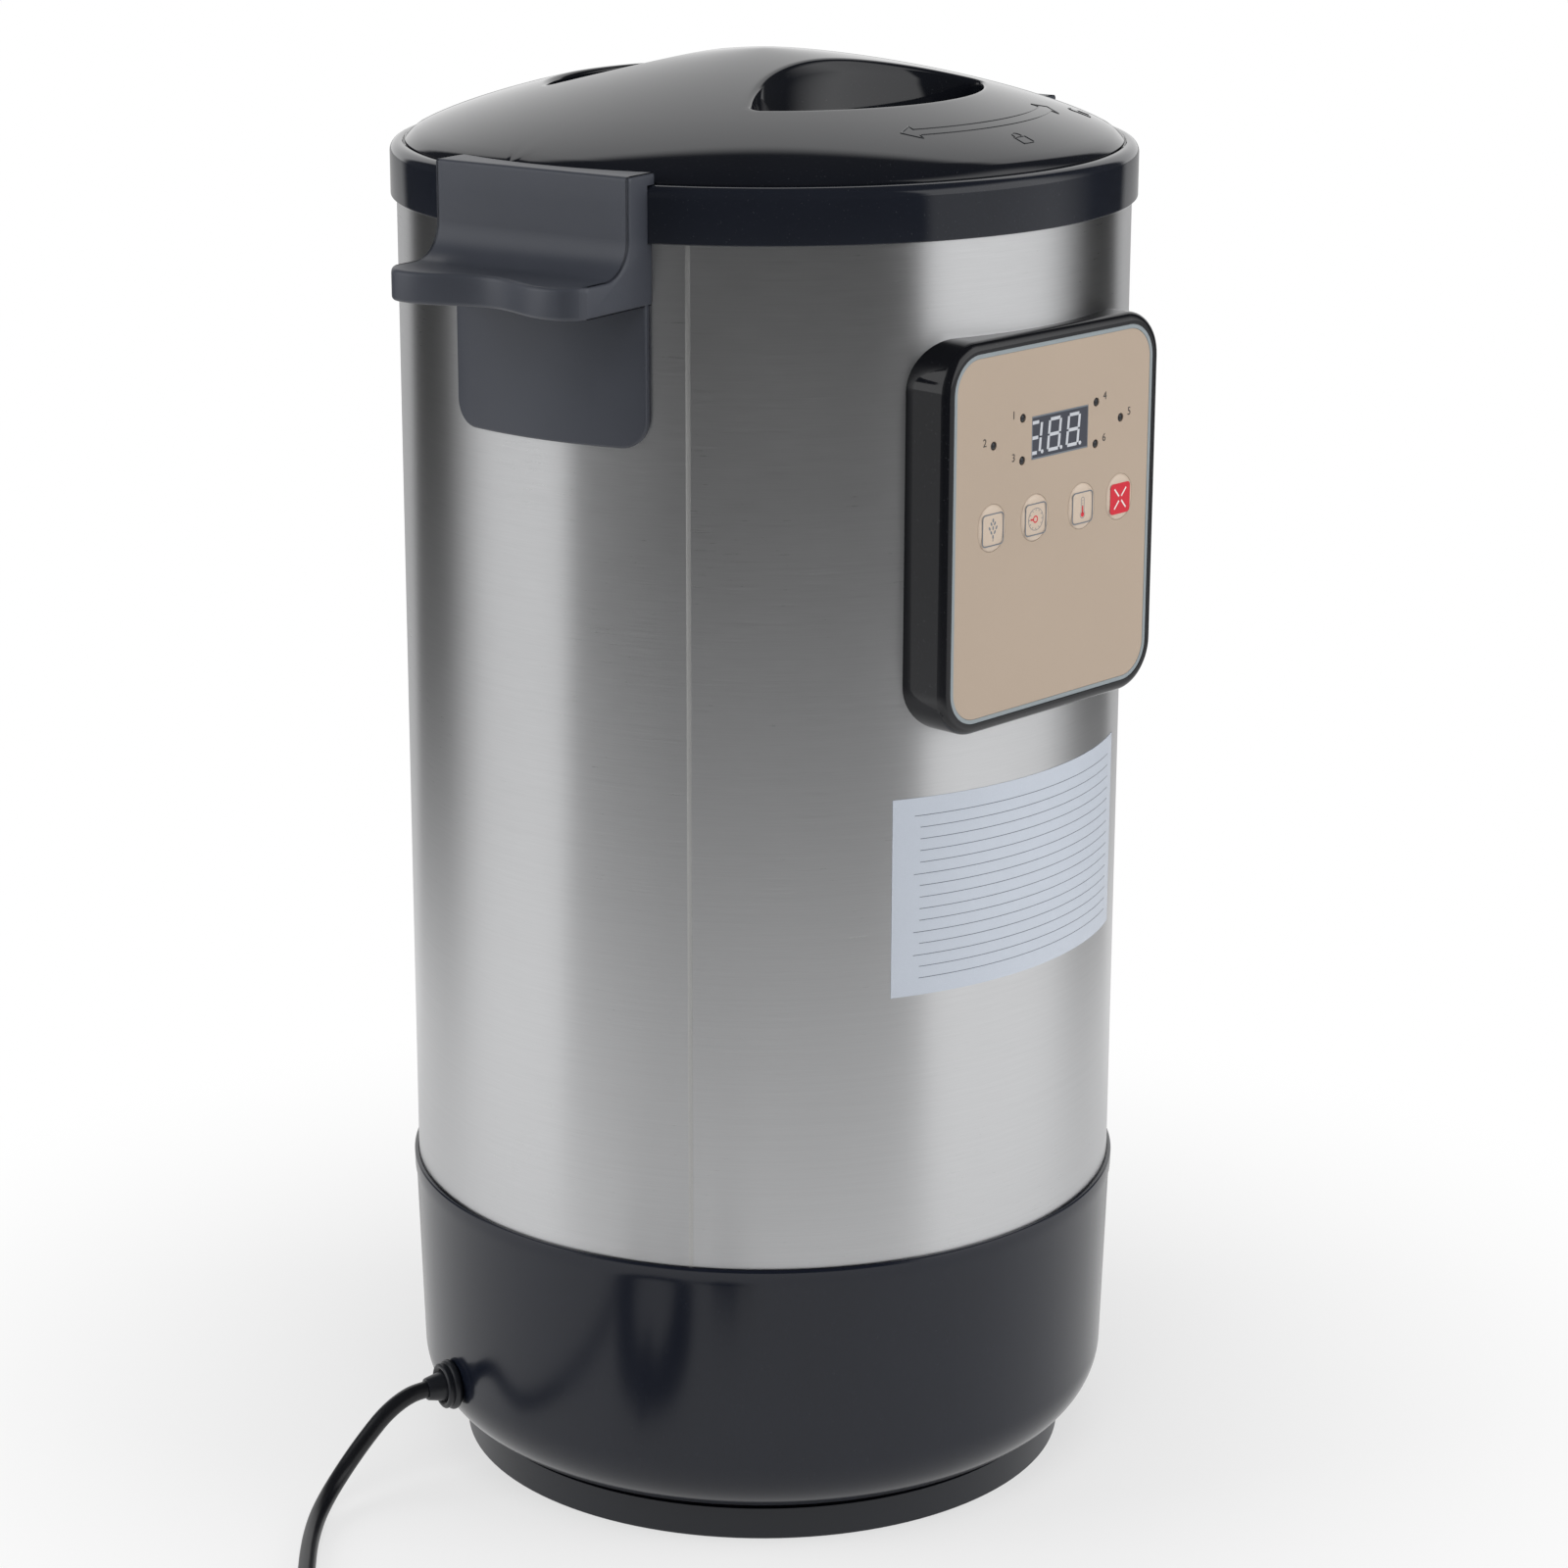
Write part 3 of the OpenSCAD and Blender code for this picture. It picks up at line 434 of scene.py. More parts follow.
def coilPoint(angle):
    for (a0, r0, z0), (a1, r1, z1) in zip(cord["coil"], cord["coil"][1:]):
        if angle <= a1:
            break
    share = (angle - a0) / (a1 - a0)
    ease = share * share * (3 - 2 * share)
    r, turn = r0 + (r1 - r0) * ease, math.radians(angle)
    return (cord["coilAt"][0] + r * math.cos(turn), cord["coilAt"][1] + r * math.sin(turn),
            z0 + (z1 - z0) * ease)


def smoothLine(points, parts):
    # a curve through all the points, as shorter steps
    spots = [Vector(p) for p in points]
    line = [spots[0]]
    for i in range(len(spots) - 1):
        before, here = spots[max(i - 1, 0)], spots[i]
        after, later = spots[i + 1], spots[min(i + 2, len(spots) - 1)]
        for k in range(1, parts + 1):
            t = k / parts
            line.append(0.5 * ((2 * here) + (after - before) * t
                               + (2 * before - 5 * here + 4 * after - later) * t * t
                               + (3 * here - before - 3 * after + later) * t * t * t))
    return line


def cordPath():
    coilFrom, coilTo, turnStep = cord["coil"][0][0], cord["coil"][-1][0], 6
    loops = [coilPoint(a) for a in range(coilFrom, coilTo + 1, turnStep)]
    points = smoothLine([cord["exit"]] + cord["run"] + loops[:1], cord["detail"])
    points += [Vector(p) for p in loops[1:]]
    points += smoothLine([loops[-1]] + cord["tail"], cord["detail"])[1:]
    return [p * mm for p in points]


def addCord():
    path = cordPath()
    curve = bpy.data.curves.new("mains_cord", "CURVE")
    curve.dimensions = "3D"
    spline = curve.splines.new("POLY")
    spline.points.add(len(path) - 1)
    for point, place in zip(spline.points, path):
        point.co = (*place, 1)
    curve.bevel_depth = cord["r"] * mm
    curve.bevel_resolution = 5
    curve.use_fill_caps = True
    curve.materials.append(finish["cordRubber"])
    piece = addObject("mains_cord", curve)
    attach(piece, "drum")
    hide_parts("power_cord", "cord_coil")
    return piece, sum((b - a).length for a, b in zip(path, path[1:])), path


def addGrommet():
    # a rubber ring in the base with a tapered nose round the cord
    angle, height, out = -109, 39.2, 139.3
    tip = out + 12
    bm = bmesh.new()
    profile = [(0, out - 4), (7, out - 4), (7, out + 0.2)]
    profile += arc((8.4, out + 1.6), 1.6, -80, 80, 8)
    profile += arc((7.9, out + 4.4), 1.3, 20, 130, 6)
    profile += [(6.2, out + 4.2), (5.9, out + 5.4), (4.5, tip - 0.4), (4.2, tip), (0, tip)]
    spinProfile(bm, profile, 48, closed=False)
    outwards = rotation(angle) @ rotation(90, "X")
    bmesh.ops.transform(bm, matrix=Matrix.Translation((0, 0, height * mm)) @ outwards, verts=bm.verts)
    return finishPiece("cord_grommet_ring", bm, "grommetRubber", "drum", ["cord_grommet"],
                       sharp=50)


def addPlug():
    # a moulded two-pin plug with a ribbed neck
    plug = {"at": (-266.8, -138, 10), "ahead": (0.682, -0.731), "neck": 16, "length": 50, "w": 34,
            "h": 20, "corner": 8}
    ahead = math.atan2(plug["ahead"][1], plug["ahead"][0])
    place = Matrix.Translation(Vector(plug["at"]) * mm) @ Matrix.Rotation(ahead, 4, "Z") @ rotation(90, "Y")

    def section(z, w, h, corner, steps=8):
        spots = []
        for sx, sy, first in ((1, 1, 0), (-1, 1, 90), (-1, -1, 180), (1, -1, 270)):
            for i in range(steps + 1):
                a = math.radians(first + 90 * i / steps)
                x = sx * (h / 2 - corner) + corner * math.cos(a)
                y = sy * (w / 2 - corner) + corner * math.sin(a)
                spots.append(place @ (Vector((x, y, z)) * mm))
        return spots

    bm = bmesh.new()
    ring = startRing(bm, section(0, 7.4, 7.4, 3.69))
    bm.faces.new(ring)
    for i in range(1, 9):  # ribs of the neck
        z, r = plug["neck"] * i / 8, 3.9 + 2.4 * i / 8 - (0.7 if i % 2 else 0)
        ring = pullRing(bm, ring, section(z - 0.5, 2 * r, 2 * r, r * 0.99))
        ring = pullRing(bm, ring, section(z, 2 * r, 2 * r, r * 0.99))
    swell = [(0.04, 0.62), (0.10, 0.84), (0.18, 0.95), (0.28, 1.0), (0.50, 0.94), (0.72, 0.98), (0.95, 1.0),
             (1.0, 0.95)]
    for share, grow in swell:  # how far along the body, and its share of the full width
        z = plug["neck"] + (plug["length"] - plug["neck"]) * share
        w, h = plug["w"] * grow, plug["h"] * min(1, grow + 0.02)
        ring = pullRing(bm, ring, section(z, w, h, min(plug["corner"], h / 2 - 0.2)))
    bm.faces.new(ring)
    return finishPiece("mains_plug", bm, "cordRubber", "drum", ["plug_body"], sharp=50)


def addTie():
    # a strap round one side of the coil
    tie = {"angle": 20, "inside": 27.0, "outside": 48.0, "top": 13.9, "half": 4, "bend": 2, "thick": 1}
    bm = bmesh.new()
    near, far, bend, thick = tie["inside"], tie["outside"], tie["bend"], tie["thick"]
    high = tie["top"] - bend
    inner = [(near, 0), (near, high)] + arc((near + bend, high), bend, 180, 90, 4)
    inner += arc((far - bend, high), bend, 90, 0, 4) + [(far, 0)]
    outer = [(far + thick, 0)] + arc((far - bend, high), bend + thick, 0, 90, 4)
    outer += arc((near + bend, high), bend + thick, 90, 180, 4) + [(near - thick, 0)]
    ring = startRing(bm, [Vector((x, -tie["half"], z)) * mm for x, z in inner + outer])
    bm.faces.new(ring)
    ring = pullRing(bm, ring, [Vector((x, tie["half"], z)) * mm for x, z in inner + outer])
    bm.faces.new(ring)
    turn = Matrix.Translation(Vector((*cord["coilAt"], 0)) * mm) @ rotation(tie["angle"])
    bmesh.ops.transform(bm, matrix=turn, verts=bm.verts)
    return finishPiece("coil_tie", bm, "padRubber", "drum", ["cord_tie"])


cordPiece, cordLength, cordLine = addCord()
grommet = addGrommet()
plug = addPlug()
tie = addTie()
print("cord laid, %.3f m" % cordLength)


def addDrum():
    drum = {"top": 521.9, "flangeR": 130, "seamW": 1.7, "seamH": 0.14}
    bm = bmesh.new()
    r, inside, low = pot["bodyR"], pot["bodyR"] - pot["shellT"], pot["ledgeZ"]
    ledge = low + pot["shellT"]
    spinProfile(bm, [(r, low), (r, drum["top"]), (inside, drum["top"]), (inside, ledge),
                     (drum["flangeR"], ledge),
                     (drum["flangeR"], low)], 256)
    finishPiece("drum_sheet", bm, "drumSteel", "drum", ["shell"])
    bm = bmesh.new()  # the weld that closes the sheet, a fine raised line
    lowZ, highZ = pot["baseH"], pot["collarZ"] + 2
    size = Matrix.Diagonal((drum["seamW"] * mm, 2 * drum["seamH"] * mm, (highZ - lowZ) * mm, 1))
    place = rotation(pot["seamAngle"]) @ Matrix.Translation((0, -r * mm, (lowZ + highZ) / 2 * mm))
    strip = bmesh.ops.create_cube(bm, size=1, matrix=place @ size)["verts"]
    upright = [e for e in {e for v in strip for e in v.link_edges}
               if abs(e.verts[0].co.z - e.verts[1].co.z) > 0.1]
    bmesh.ops.bevel(bm, geom=upright, offset=0.12 * mm, segments=2, profile=0.5, affect="EDGES",
                    material=-1)
    finishPiece("drum_seam", bm, "seamSteel", "drum")


def addBaseCup():
    cup = {"r": 139, "round": 27, "wall": 2.5, "foot": 12, "inR": 100, "lipOut": 1.8, "lipRound": 0.9}
    edge, mid, top = cup["r"] - cup["round"], cup["foot"] + cup["round"], pot["baseH"]
    lipR, lipRound = pot["bodyR"] + cup["lipOut"], cup["lipRound"]
    bm = bmesh.new()
    profile = [(cup["inR"], cup["foot"]), (edge - 6, cup["foot"])]
    profile += arc((edge, mid), cup["round"], -90, 0, 20) + [(lipR - 0.7, top - 9),
                                                             (lipR - 0.15, top - 6.5)]
    profile += arc((lipR - lipRound, top - lipRound), lipRound, 0, 90, 6)
    seat = pot["bodyR"] + pot["touch"]
    profile += [(seat + 0.2, top), (seat, top - 0.2), (seat, pot["ledgeZ"]),
                (cup["r"] - cup["wall"], pot["ledgeZ"])]
    profile += arc((edge, mid), cup["round"] - cup["wall"], 0, -90, 12)
    profile += [(cup["inR"], cup["foot"] + cup["wall"])]
    spinProfile(bm, profile, 224)
    return finishPiece("base_shell", bm, "baseSatin", "drum", ["base_cup"])


def addCollar():
    # the black ring under the lid, with the ribs that the lid's lugs slide below
    ring = {"shoulder": 4, "stepR": 137.3, "deck": 524.7, "neckR": 131.5, "neckT": 2.2, "seat": 510,
            "seatT": 2, "seatR": 125.5, "under": 521.9, "ribs": 3, "ribZ": 518.3, "ribH": 3.5,
            "ribFrom": 20, "ribTurn": 80}
    outer, top, low, inside = pot["collarR"], pot["collarTop"], pot["collarZ"], pot["bodyR"] + pot["touch"]
    bm = bmesh.new()
    profile = [(inside, low + 0.3), (inside + 0.3, low), (outer - 0.5, low)]
    profile += arc((outer - 0.5, low + 0.5), 0.5, -90, 0, 4)
    profile += arc((outer - ring["shoulder"], top - ring["shoulder"]), ring["shoulder"], 0, 84, 10)
    step, neck, wall = ring["stepR"], ring["neckR"], ring["neckR"] + ring["neckT"]
    deck, seat, under = ring["deck"], ring["seat"], ring["seat"] - ring["seatT"]
    profile += [(step + 0.3, top - 0.02), (step, top - 0.3), (step, deck), (neck, deck), (neck, seat),
                (ring["seatR"], seat), (ring["seatR"], under), (wall, under), (wall, ring["under"]),
                (inside, ring["under"])]
    spinProfile(bm, profile, 224)
    for i in range(ring["ribs"]):
        r0, r1, z0, z1 = neck - 3.7, neck + 0.5, ring["ribZ"], ring["ribZ"] + ring["ribH"]
        start = 360 * i / ring["ribs"] + ring["ribFrom"]
        spinProfile(bm, [(r0, z0), (r1, z0), (r1, z1), (r0, z1)], 30, ring["ribTurn"], start)
    return finishPiece("collar_ring", bm, "collarGloss", "drum", ["collar"])


addDrum()
addBaseCup()
addCollar()
print("drum, base and collar made")


grip = {"half": 42.6, "reach": 179.97, "dip": 8, "lobe": 30, "corner": 7, "low": 484.5, "high": 496,
        "plate": 147, "fillet": 13, "top": 531, "lipZ": 526.9, "lipR": 137.6, "edge": 1.7, "bend": 1.3,
        "plateLow": 433, "plateT": 3.5, "plateCorner": 10, "plateEdge": 1.1}


def gripEdge(t):
    wave = grip["reach"] - grip["dip"] * (0.5 + 0.5 * math.cos(math.pi * t / grip["lobe"]))
    nearEnd = abs(t) - (grip["half"] - grip["corner"])
    if nearEnd > 0:  # round the grip's corners seen from above
        wave -= grip["corner"] - math.sqrt(max(0, grip["corner"] ** 2 - nearEnd ** 2))
    return wave


def chord(r, t):
    return math.sqrt(r * r - t * t)


def handleSection(t, inset):
    # outline of the handle cut at t from its middle, as (distance from the axis, height)
    edge, r = gripEdge(min(max(t, -grip["half"] + 0.4), grip["half"] - 0.4)) - inset, grip["edge"]
    low, high = grip["low"] + inset, grip["high"] - inset
    plate, top = grip["plate"] - inset, grip["top"] - inset
    gap = pot["touch"]
    drum, collar, lid = chord(pot["bodyR"] + gap, t), chord(pot["collarR"] + gap, t), chord(grip["lipR"], t)
    bow = grip["fillet"] + inset * 0.6
    outline = [(drum, low), ((drum + edge) / 2, low)] + arc((edge - r, low + r), r, -90, 0, 5)
    outline += arc((edge - r, high - r), r, 0, 90, 5) + [((edge - r + plate + bow) / 2, high)]
    outline += arc((plate + bow, high + bow), bow, 270, 180, 12) + [(plate, (high + bow + top) / 2)]
    outline += arc((plate - 1.4, top - 1.4), 1.4, 0, 90, 5)
    outline += arc((lid + inset + 0.7, top - 0.7), 0.7, 90, 180, 3)
    under = pot["collarZ"] - gap
    return outline + [(lid + inset, grip["lipZ"]), (collar, grip["lipZ"]), (collar, under), (drum, under)]


def addHandle(name, angle, node):
    bm = bmesh.new()
    half, bend = grip["half"], grip["bend"]
    turns = [math.radians(a) for a in (0, 22, 45, 68, 90)]
    ends = [(half - bend * (1 - math.cos(a)), bend * (1 - math.sin(a))) for a in turns]
    turns = [math.radians(a) for a in (72, 60, 48, 36, 24, 12, 0)]
    corner = [(half - grip["corner"] * (1 - math.sin(a)), 0) for a in turns]
    middle = [(t, 0) for t in range(34, -35, -2)]
    cuts = [(t, d) for t, d in ends + corner if t > 34.5]
    cuts = cuts + middle + [(-t, d) for t, d in reversed(cuts)]
    place = lambda t, d: [Vector((t, -x, z)) * mm for x, z in handleSection(t, d)]
    ring = startRing(bm, place(*cuts[0]))
    bm.faces.new(ring)
    for t, d in cuts[1:]:
        ring = pullRing(bm, ring, place(t, d))
    bm.faces.new(ring)
    addLowerPlate(bm)
    bmesh.ops.rotate(bm, verts=bm.verts, cent=(0, 0, 0), matrix=rotation(angle, size=3))
    return finishPiece(name, bm, "handleSatin", "drum", [node], sharp=42)


def withNeighbours(verts):
    # the vertices with their edges and faces, as a cut needs them
    around = {g for v in verts for g in v.link_edges} | {g for v in verts for g in v.link_faces}
    return verts + list(around)


def addLowerPlate(bm):
    # the curved plate below the grip, first flat, then bent round the drum
    before = set(bm.verts)
    half, low, high = grip["half"], grip["plateLow"], grip["low"] + 2
    r0, r1 = pot["bodyR"] + pot["touch"], pot["bodyR"] + grip["plateT"]
    reach = r1 * math.asin(half / r1)  # along the arc
    spare, slices = 10, 14  # what is cut off above, and the cuts from the middle to an end
    addPlate(bm, 2 * reach, high - low + 2 * spare, grip["plateCorner"], r1 - r0, grip["plateEdge"])
    verts = [v for v in bm.verts if v not in before]
    bmesh.ops.translate(bm, vec=(0, spare * mm, 0), verts=verts)
    bmesh.ops.bisect_plane(bm, geom=withNeighbours(verts), plane_co=(0, (high - low) / 2 * mm, 0),
                           plane_no=(0, 1, 0), clear_outer=True)
    for i in range(1 - slices, slices):
        verts = [v for v in bm.verts if v not in before]
        bmesh.ops.bisect_plane(bm, geom=withNeighbours(verts), plane_co=(reach * i / slices * mm, 0, 0),
                               plane_no=(1, 0, 0))
    for v in bm.verts:
        if v not in before:
            x, y, z = v.co
            turn, r = x / (r1 * mm), r0 * mm + z
            v.co = (r * math.sin(turn), -r * math.cos(turn), y + (low + high) / 2 * mm)


addHandle("handle_left_grip", -81, "handle_left")
addHandle("handle_right_grip", 99, "handle_right")
print("handles made")


lid = {"bow": 89.4, "bowAt": -116.4, "front": 82.5, "tip": 3.5, "tipX": 58.3, "tipY": -53.31,
       "rimRound": 2.2, "floor": 527.4, "draft": 7, "frontN": 72, "tipN": 10, "bridgeN": 60,
       "outerRings": 26, "rimRings": 7, "wallRings": 10, "foot": 3.0}


def domeZ(r):
    share = min(1, r / pot["lidR"])
    return pot["lidZ"] + pot["domeH"] * (1 - share ** 1.375) ** 0.744


def pocketRing(grow):
    # plan of a finger pocket, grown or shrunk: (x, y, share along the bridge side)
    tipAngle = math.degrees(math.atan2(lid["tipY"], lid["tipX"]))
    bowAngle = math.degrees(math.atan2(lid["tipY"] - lid["bowAt"], lid["tipX"]))
    spots = []

    def sweep(cx, cy, r, first, last, count, bridge=False):
        for i in range(count):
            share = i / count
            a = math.radians(first + (last - first) * share)
            spots.append((cx + (r + grow) * math.cos(a), cy + (r + grow) * math.sin(a),
                          math.sin(math.pi * share) if bridge else 0))

    sweep(0, 0, lid["front"], -180 - tipAngle, tipAngle, lid["frontN"])
    sweep(lid["tipX"], lid["tipY"], lid["tip"], tipAngle, bowAngle, lid["tipN"])
    sweep(0, lid["bowAt"], lid["bow"], bowAngle, 180 - bowAngle, lid["bridgeN"], True)
    sweep(-lid["tipX"], lid["tipY"], lid["tip"], 180 - bowAngle, 180 - tipAngle, lid["tipN"])
    return spots


def halfEdge():
    # the half disc round a pocket, one spot for each of the pocket's
    count, r = len(pocketRing(0)), pot["lidR"]
    frontCount = lid["frontN"] + lid["tipN"]
    shift = lid["tipN"] // 2
    spots = []
    for i in range(count):
        j = (i + shift) % count
        if j <= frontCount:
            a = math.radians(180 + 180 * j / frontCount)
            spots.append((r * math.cos(a), r * math.sin(a)))
        else:
            spots.append((r - 2 * r * (j - frontCount) / (count - frontCount), 0))
    return [(x, 0 if abs(y) < 1e-9 else y) for x, y in spots]


def addLid():
    bm = bmesh.new()
    rr = lid["rimRound"]
    outer, inner = halfEdge(), pocketRing(rr)
    onDome = lambda x, y: Vector((x, y, domeZ(math.hypot(x, y)))) * mm
    ring = startRing(bm, [onDome(x, y) for x, y in outer])
    for k in range(1, lid["outerRings"] + 1):
        s = (k / lid["outerRings"]) ** 0.8
        ring = pullRing(bm, ring, [onDome(x0 + (x1 - x0) * s, y0 + (y1 - y0) * s)
                                   for (x0, y0), (x1, y1, w) in zip(outer, inner)])
    for k in range(1, lid["rimRings"] + 1):  # rounded rim of the pocket
        a = math.radians(90 * k / lid["rimRings"])
        e, drop = rr * (1 - math.sin(a)), rr * (1 - math.cos(a))
        ring = pullRing(bm, ring,
                        [Vector((x, y, domeZ(math.hypot(x, y)) - drop)) * mm for x, y, w in pocketRing(e)])
    rim = [(x, y, domeZ(math.hypot(x, y)) - rr, w) for x, y, w in pocketRing(0)]
    floor, foot = lid["floor"], lid["foot"]
    for k in range(1, lid["wallRings"] + 1):
        s = k / lid["wallRings"]
        lean = lid["draft"] * math.sin(math.radians(90 * s)) ** 0.8
        places = [Vector((x * (1 - 0.01 * s), y - lean * w, z + (floor + foot - z) * s)) * mm
                  for x, y, z, w in rim]
        ring = pullRing(bm, ring, places)
    centre = Vector((0, sum(v.co.y for v in ring) / len(ring), 0))
    base = [v.co.copy() for v in ring]
    for a in (22, 45, 68, 90):  # round into the floor
        e, drop = foot * (1 - math.cos(math.radians(a))), foot * math.sin(math.radians(a))
        ring = pullRing(bm, ring, [p + (Vector((centre.x, centre.y, p.z)) - p).normalized() * e * mm
                                   - Vector((0, 0, drop * mm)) for p in base])
    bm.faces.new(ring)
    bmesh.ops.remove_doubles(bm, verts=bm.verts, dist=0.000002)
    bmesh.ops.mirror(bm, geom=bm.verts[:] + bm.edges[:] + bm.faces[:], axis="Y", merge_dist=0.00001)
    bmesh.ops.remove_doubles(bm, verts=bm.verts, dist=0.00001)
    low = pot["lidBottom"]  # rim: down from the dome's edge, rounded below
    for dr, z in ((0.05, pot["lidZ"] - 0.6), (0.0, low + 0.7), (-0.2, low + 0.2), (-0.7, low), (-8.5, low)):
        edges = [e for e in bm.edges if e.is_boundary]
        for v in vertsIn(bmesh.ops.extrude_edge_only(bm, edges=edges)["geom"]):
            flat = Vector((v.co.x, v.co.y, 0)).normalized() * (pot["lidR"] + dr) * mm
            v.co = (flat.x, flat.y, z * mm)
    bmesh.ops.recalc_face_normals(bm, faces=bm.faces)
    if max(bm.faces, key=lambda f: f.calc_center_median().z).normal.z < 0:
        bmesh.ops.reverse_faces(bm, faces=bm.faces)
    return finishPiece("lid_cap", bm, "lidGloss", "lid", ["lid_dome"], sharp=60, tidy=False)


def addLidMarks():
    # a double arrow and two padlocks, as fine raised lines on the dome
    mark = {"from": -20, "to": 34, "r": 107.5, "half": 2.3, "head": 6.5, "headHalf": 5.2, "line": 0.42}
    deg = math.degrees(1 / mark["r"])
    inner, outer = mark["r"] - mark["half"], mark["r"] + mark["half"]
    a0, a1 = mark["from"] + mark["head"] * deg, mark["to"] - mark["head"] * deg
    steps = 24
    along = [a0 + (a1 - a0) * i / steps for i in range(steps + 1)]
    arrow = [(mark["from"], mark["r"]), (a0, mark["r"] + mark["headHalf"])] + [(a, outer) for a in along]
    arrow += [(a1, mark["r"] + mark["headHalf"]), (mark["to"], mark["r"]),
              (a1, mark["r"] - mark["headHalf"])]
    arrow += [(a, inner) for a in reversed(along)] + [(a0, mark["r"] - mark["headHalf"])]
    shapes = [arrow]
    for middle, opened in ((4, False), (43, True)):  # padlocks
        r, w = 119, 3.1
        body = [(-w, 0), (w, 0), (w, -4.6), (-w, -4.6)]
        shackle = arc((0, 0.8), 2.1, -5, 185, 10)
        if opened:
            c, d = math.cos(0.6), math.sin(0.6)
            shackle = [(x * c - (y - 0.8) * d - 1.2, 1.6 + x * d + (y - 0.8) * c) for x, y in shackle]
        shapes += [[(middle + x * math.degrees(1 / r), r - y) for x, y in body]]
        shapes += [[(middle + x * math.degrees(1 / r), r - y) for x, y in shackle]]
    bm = bmesh.new()
    for index, shape in enumerate(shapes):
        closed = index not in (2, 4)
        spots = []
        for i in range(len(shape) if closed else len(shape) - 1):  # short steps follow the dome
            (a, r), (b, q) = shape[i], shape[(i + 1) % len(shape)]
            spots += [(a + (b - a) * k / 4, r + (q - r) * k / 4) for k in range(4)]
        if not closed:
            spots.append(shape[-1])
        places = []
        for a, r in spots:
            turn = math.radians(a)
            places.append(Vector((r * math.sin(turn), -r * math.cos(turn), domeZ(r))) * mm)
        count = len(places)
        rings = None
        for i in range(count + (1 if closed else 0)):
            here = places[i % count]
            after = places[(i + 1) % count] if closed or i < count - 1 else here
            before = places[(i - 1) % count] if closed or i else here
            along = (after - before).normalized()
            up = Vector((here.x, here.y, 0)).normalized() * 0.3 + Vector((0, 0, 1))
            side = along.cross(up).normalized()
            up = side.cross(along).normalized()
            half = mark["line"] * mm
            section = [here + side * half * x + up * half * y
                       for x, y in ((-1, -0.6), (-0.7, 0.25), (0, 0.55), (0.7, 0.25), (1, -0.6))]
            rings = startRing(bm, section) if rings is None else pullRing(bm, rings, section)
    return finishPiece("lid_marks", bm, "lidGloss", "lid", sharp=60)


addLid()
addLidMarks()
print("lid made")


box = {"w": 122, "h": 144.4, "corner": 18, "rim": 4.2, "round": 3.2, "back": 118, 
       "displayAt": (3, 33.2), "displayW": 32.4, "displayH": 16,
       "keyAt": [(-35, 3.6), (-10.8, 3.6), (16.3, 3.6), (38.5, 3.6)], "keyW": 15, "keyH": 17,
       "lampAt": [(-18.4, 41.4), (-34.6, 33.6), (-18.4, 25.8), (23.8, 41.4), (38.4, 33.6), (23.8, 25.8)]}


def addHousing():
    bm = bmesh.new()
    depth = pot["faceD"] - box["back"]
    top = addPlate(bm, box["w"], box["h"], box["corner"], depth, steps=14)
    bmesh.ops.bevel(bm, geom=list(top.edges), offset=box["round"] * mm, segments=6, profile=0.5,
                    affect="EDGES", material=-1)
    top = max(bm.faces, key=lambda f: (round(f.calc_center_median().z, 6), f.calc_area()))
    lip, slope = box["rim"] - box["round"], 0.25
    for wide, deep in ((lip, 0), (slope, -slope), (0.02, pot["recessD"] - pot["faceD"] + slope - 0.1)):
        bmesh.ops.inset_region(bm, faces=[top], thickness=wide * mm, depth=deep * mm, use_even_offset=True)
    bmesh.ops.transform(bm, matrix=onBox(box["back"]), verts=bm.verts)
    return finishPiece("panel_shell", bm, "boxGloss", "drum", ["panel_housing"], sharp=44)


def addLamps():
    lens = {"r": 1.5, "flat": 0.5, "sink": 0.9}
    bm = bmesh.new()
    for at in box["lampAt"]:
        dome = bmesh.ops.create_uvsphere(bm, u_segments=20, v_segments=10, radius=lens["r"] * mm)["verts"]
        bmesh.ops.scale(bm, vec=(1, 1, lens["flat"]), verts=dome)
        bmesh.ops.transform(bm, matrix=onBox(pot["faceD"] - lens["sink"], at), verts=dome)
    return finishPiece("lamp_lenses", bm, "lensDark", "drum", ["indicator_leds"])


def addKey(index, body, node):
    # a soft embossed pad
    bm = bmesh.new()
    w, h = box["keyW"], box["keyH"]

    def shape(grow, z):
        spots = arc((0, (h - w) / 2), w / 2 + grow, 0, 180, 24)
        spots += arc((0, -(h - w) / 2), w / 2 + grow, 180, 360, 24)
        return [Vector((x, y, z)) * mm for x, y in spots]

    low = pot["recessD"] - pot["faceD"] - 1
    ring = startRing(bm, shape(0.22, low))
    bm.faces.new(ring)
    crown = [(0.22, -0.42), (0.05, -0.2), (-0.7, 0.06), (-1.3, 0.2), (-2.1, 0.3), (-3.2, 0.36), (-4.6, 0.4)]
    for grow, z in crown:
        ring = pullRing(bm, ring, shape(grow, z))
    bm.faces.new(ring)
    bmesh.ops.transform(bm, matrix=onBox(pot["faceD"], box["keyAt"][index]), verts=bm.verts)
    # the pad takes the film painted lighter than the face: painted highlight
    return finishPiece("pad_" + body, bm, "keyFilmPaintedHighlight", body, [node], sharp=70)


def squircle(half, corner, steps=6):
    spots = []
    for sx, sy, first in ((1, 1, 0), (-1, 1, 90), (-1, -1, 180), (1, -1, 270)):
        spots += arc((sx * (half - corner), sy * (half - corner)), corner, first, first + 90, steps)
    return spots


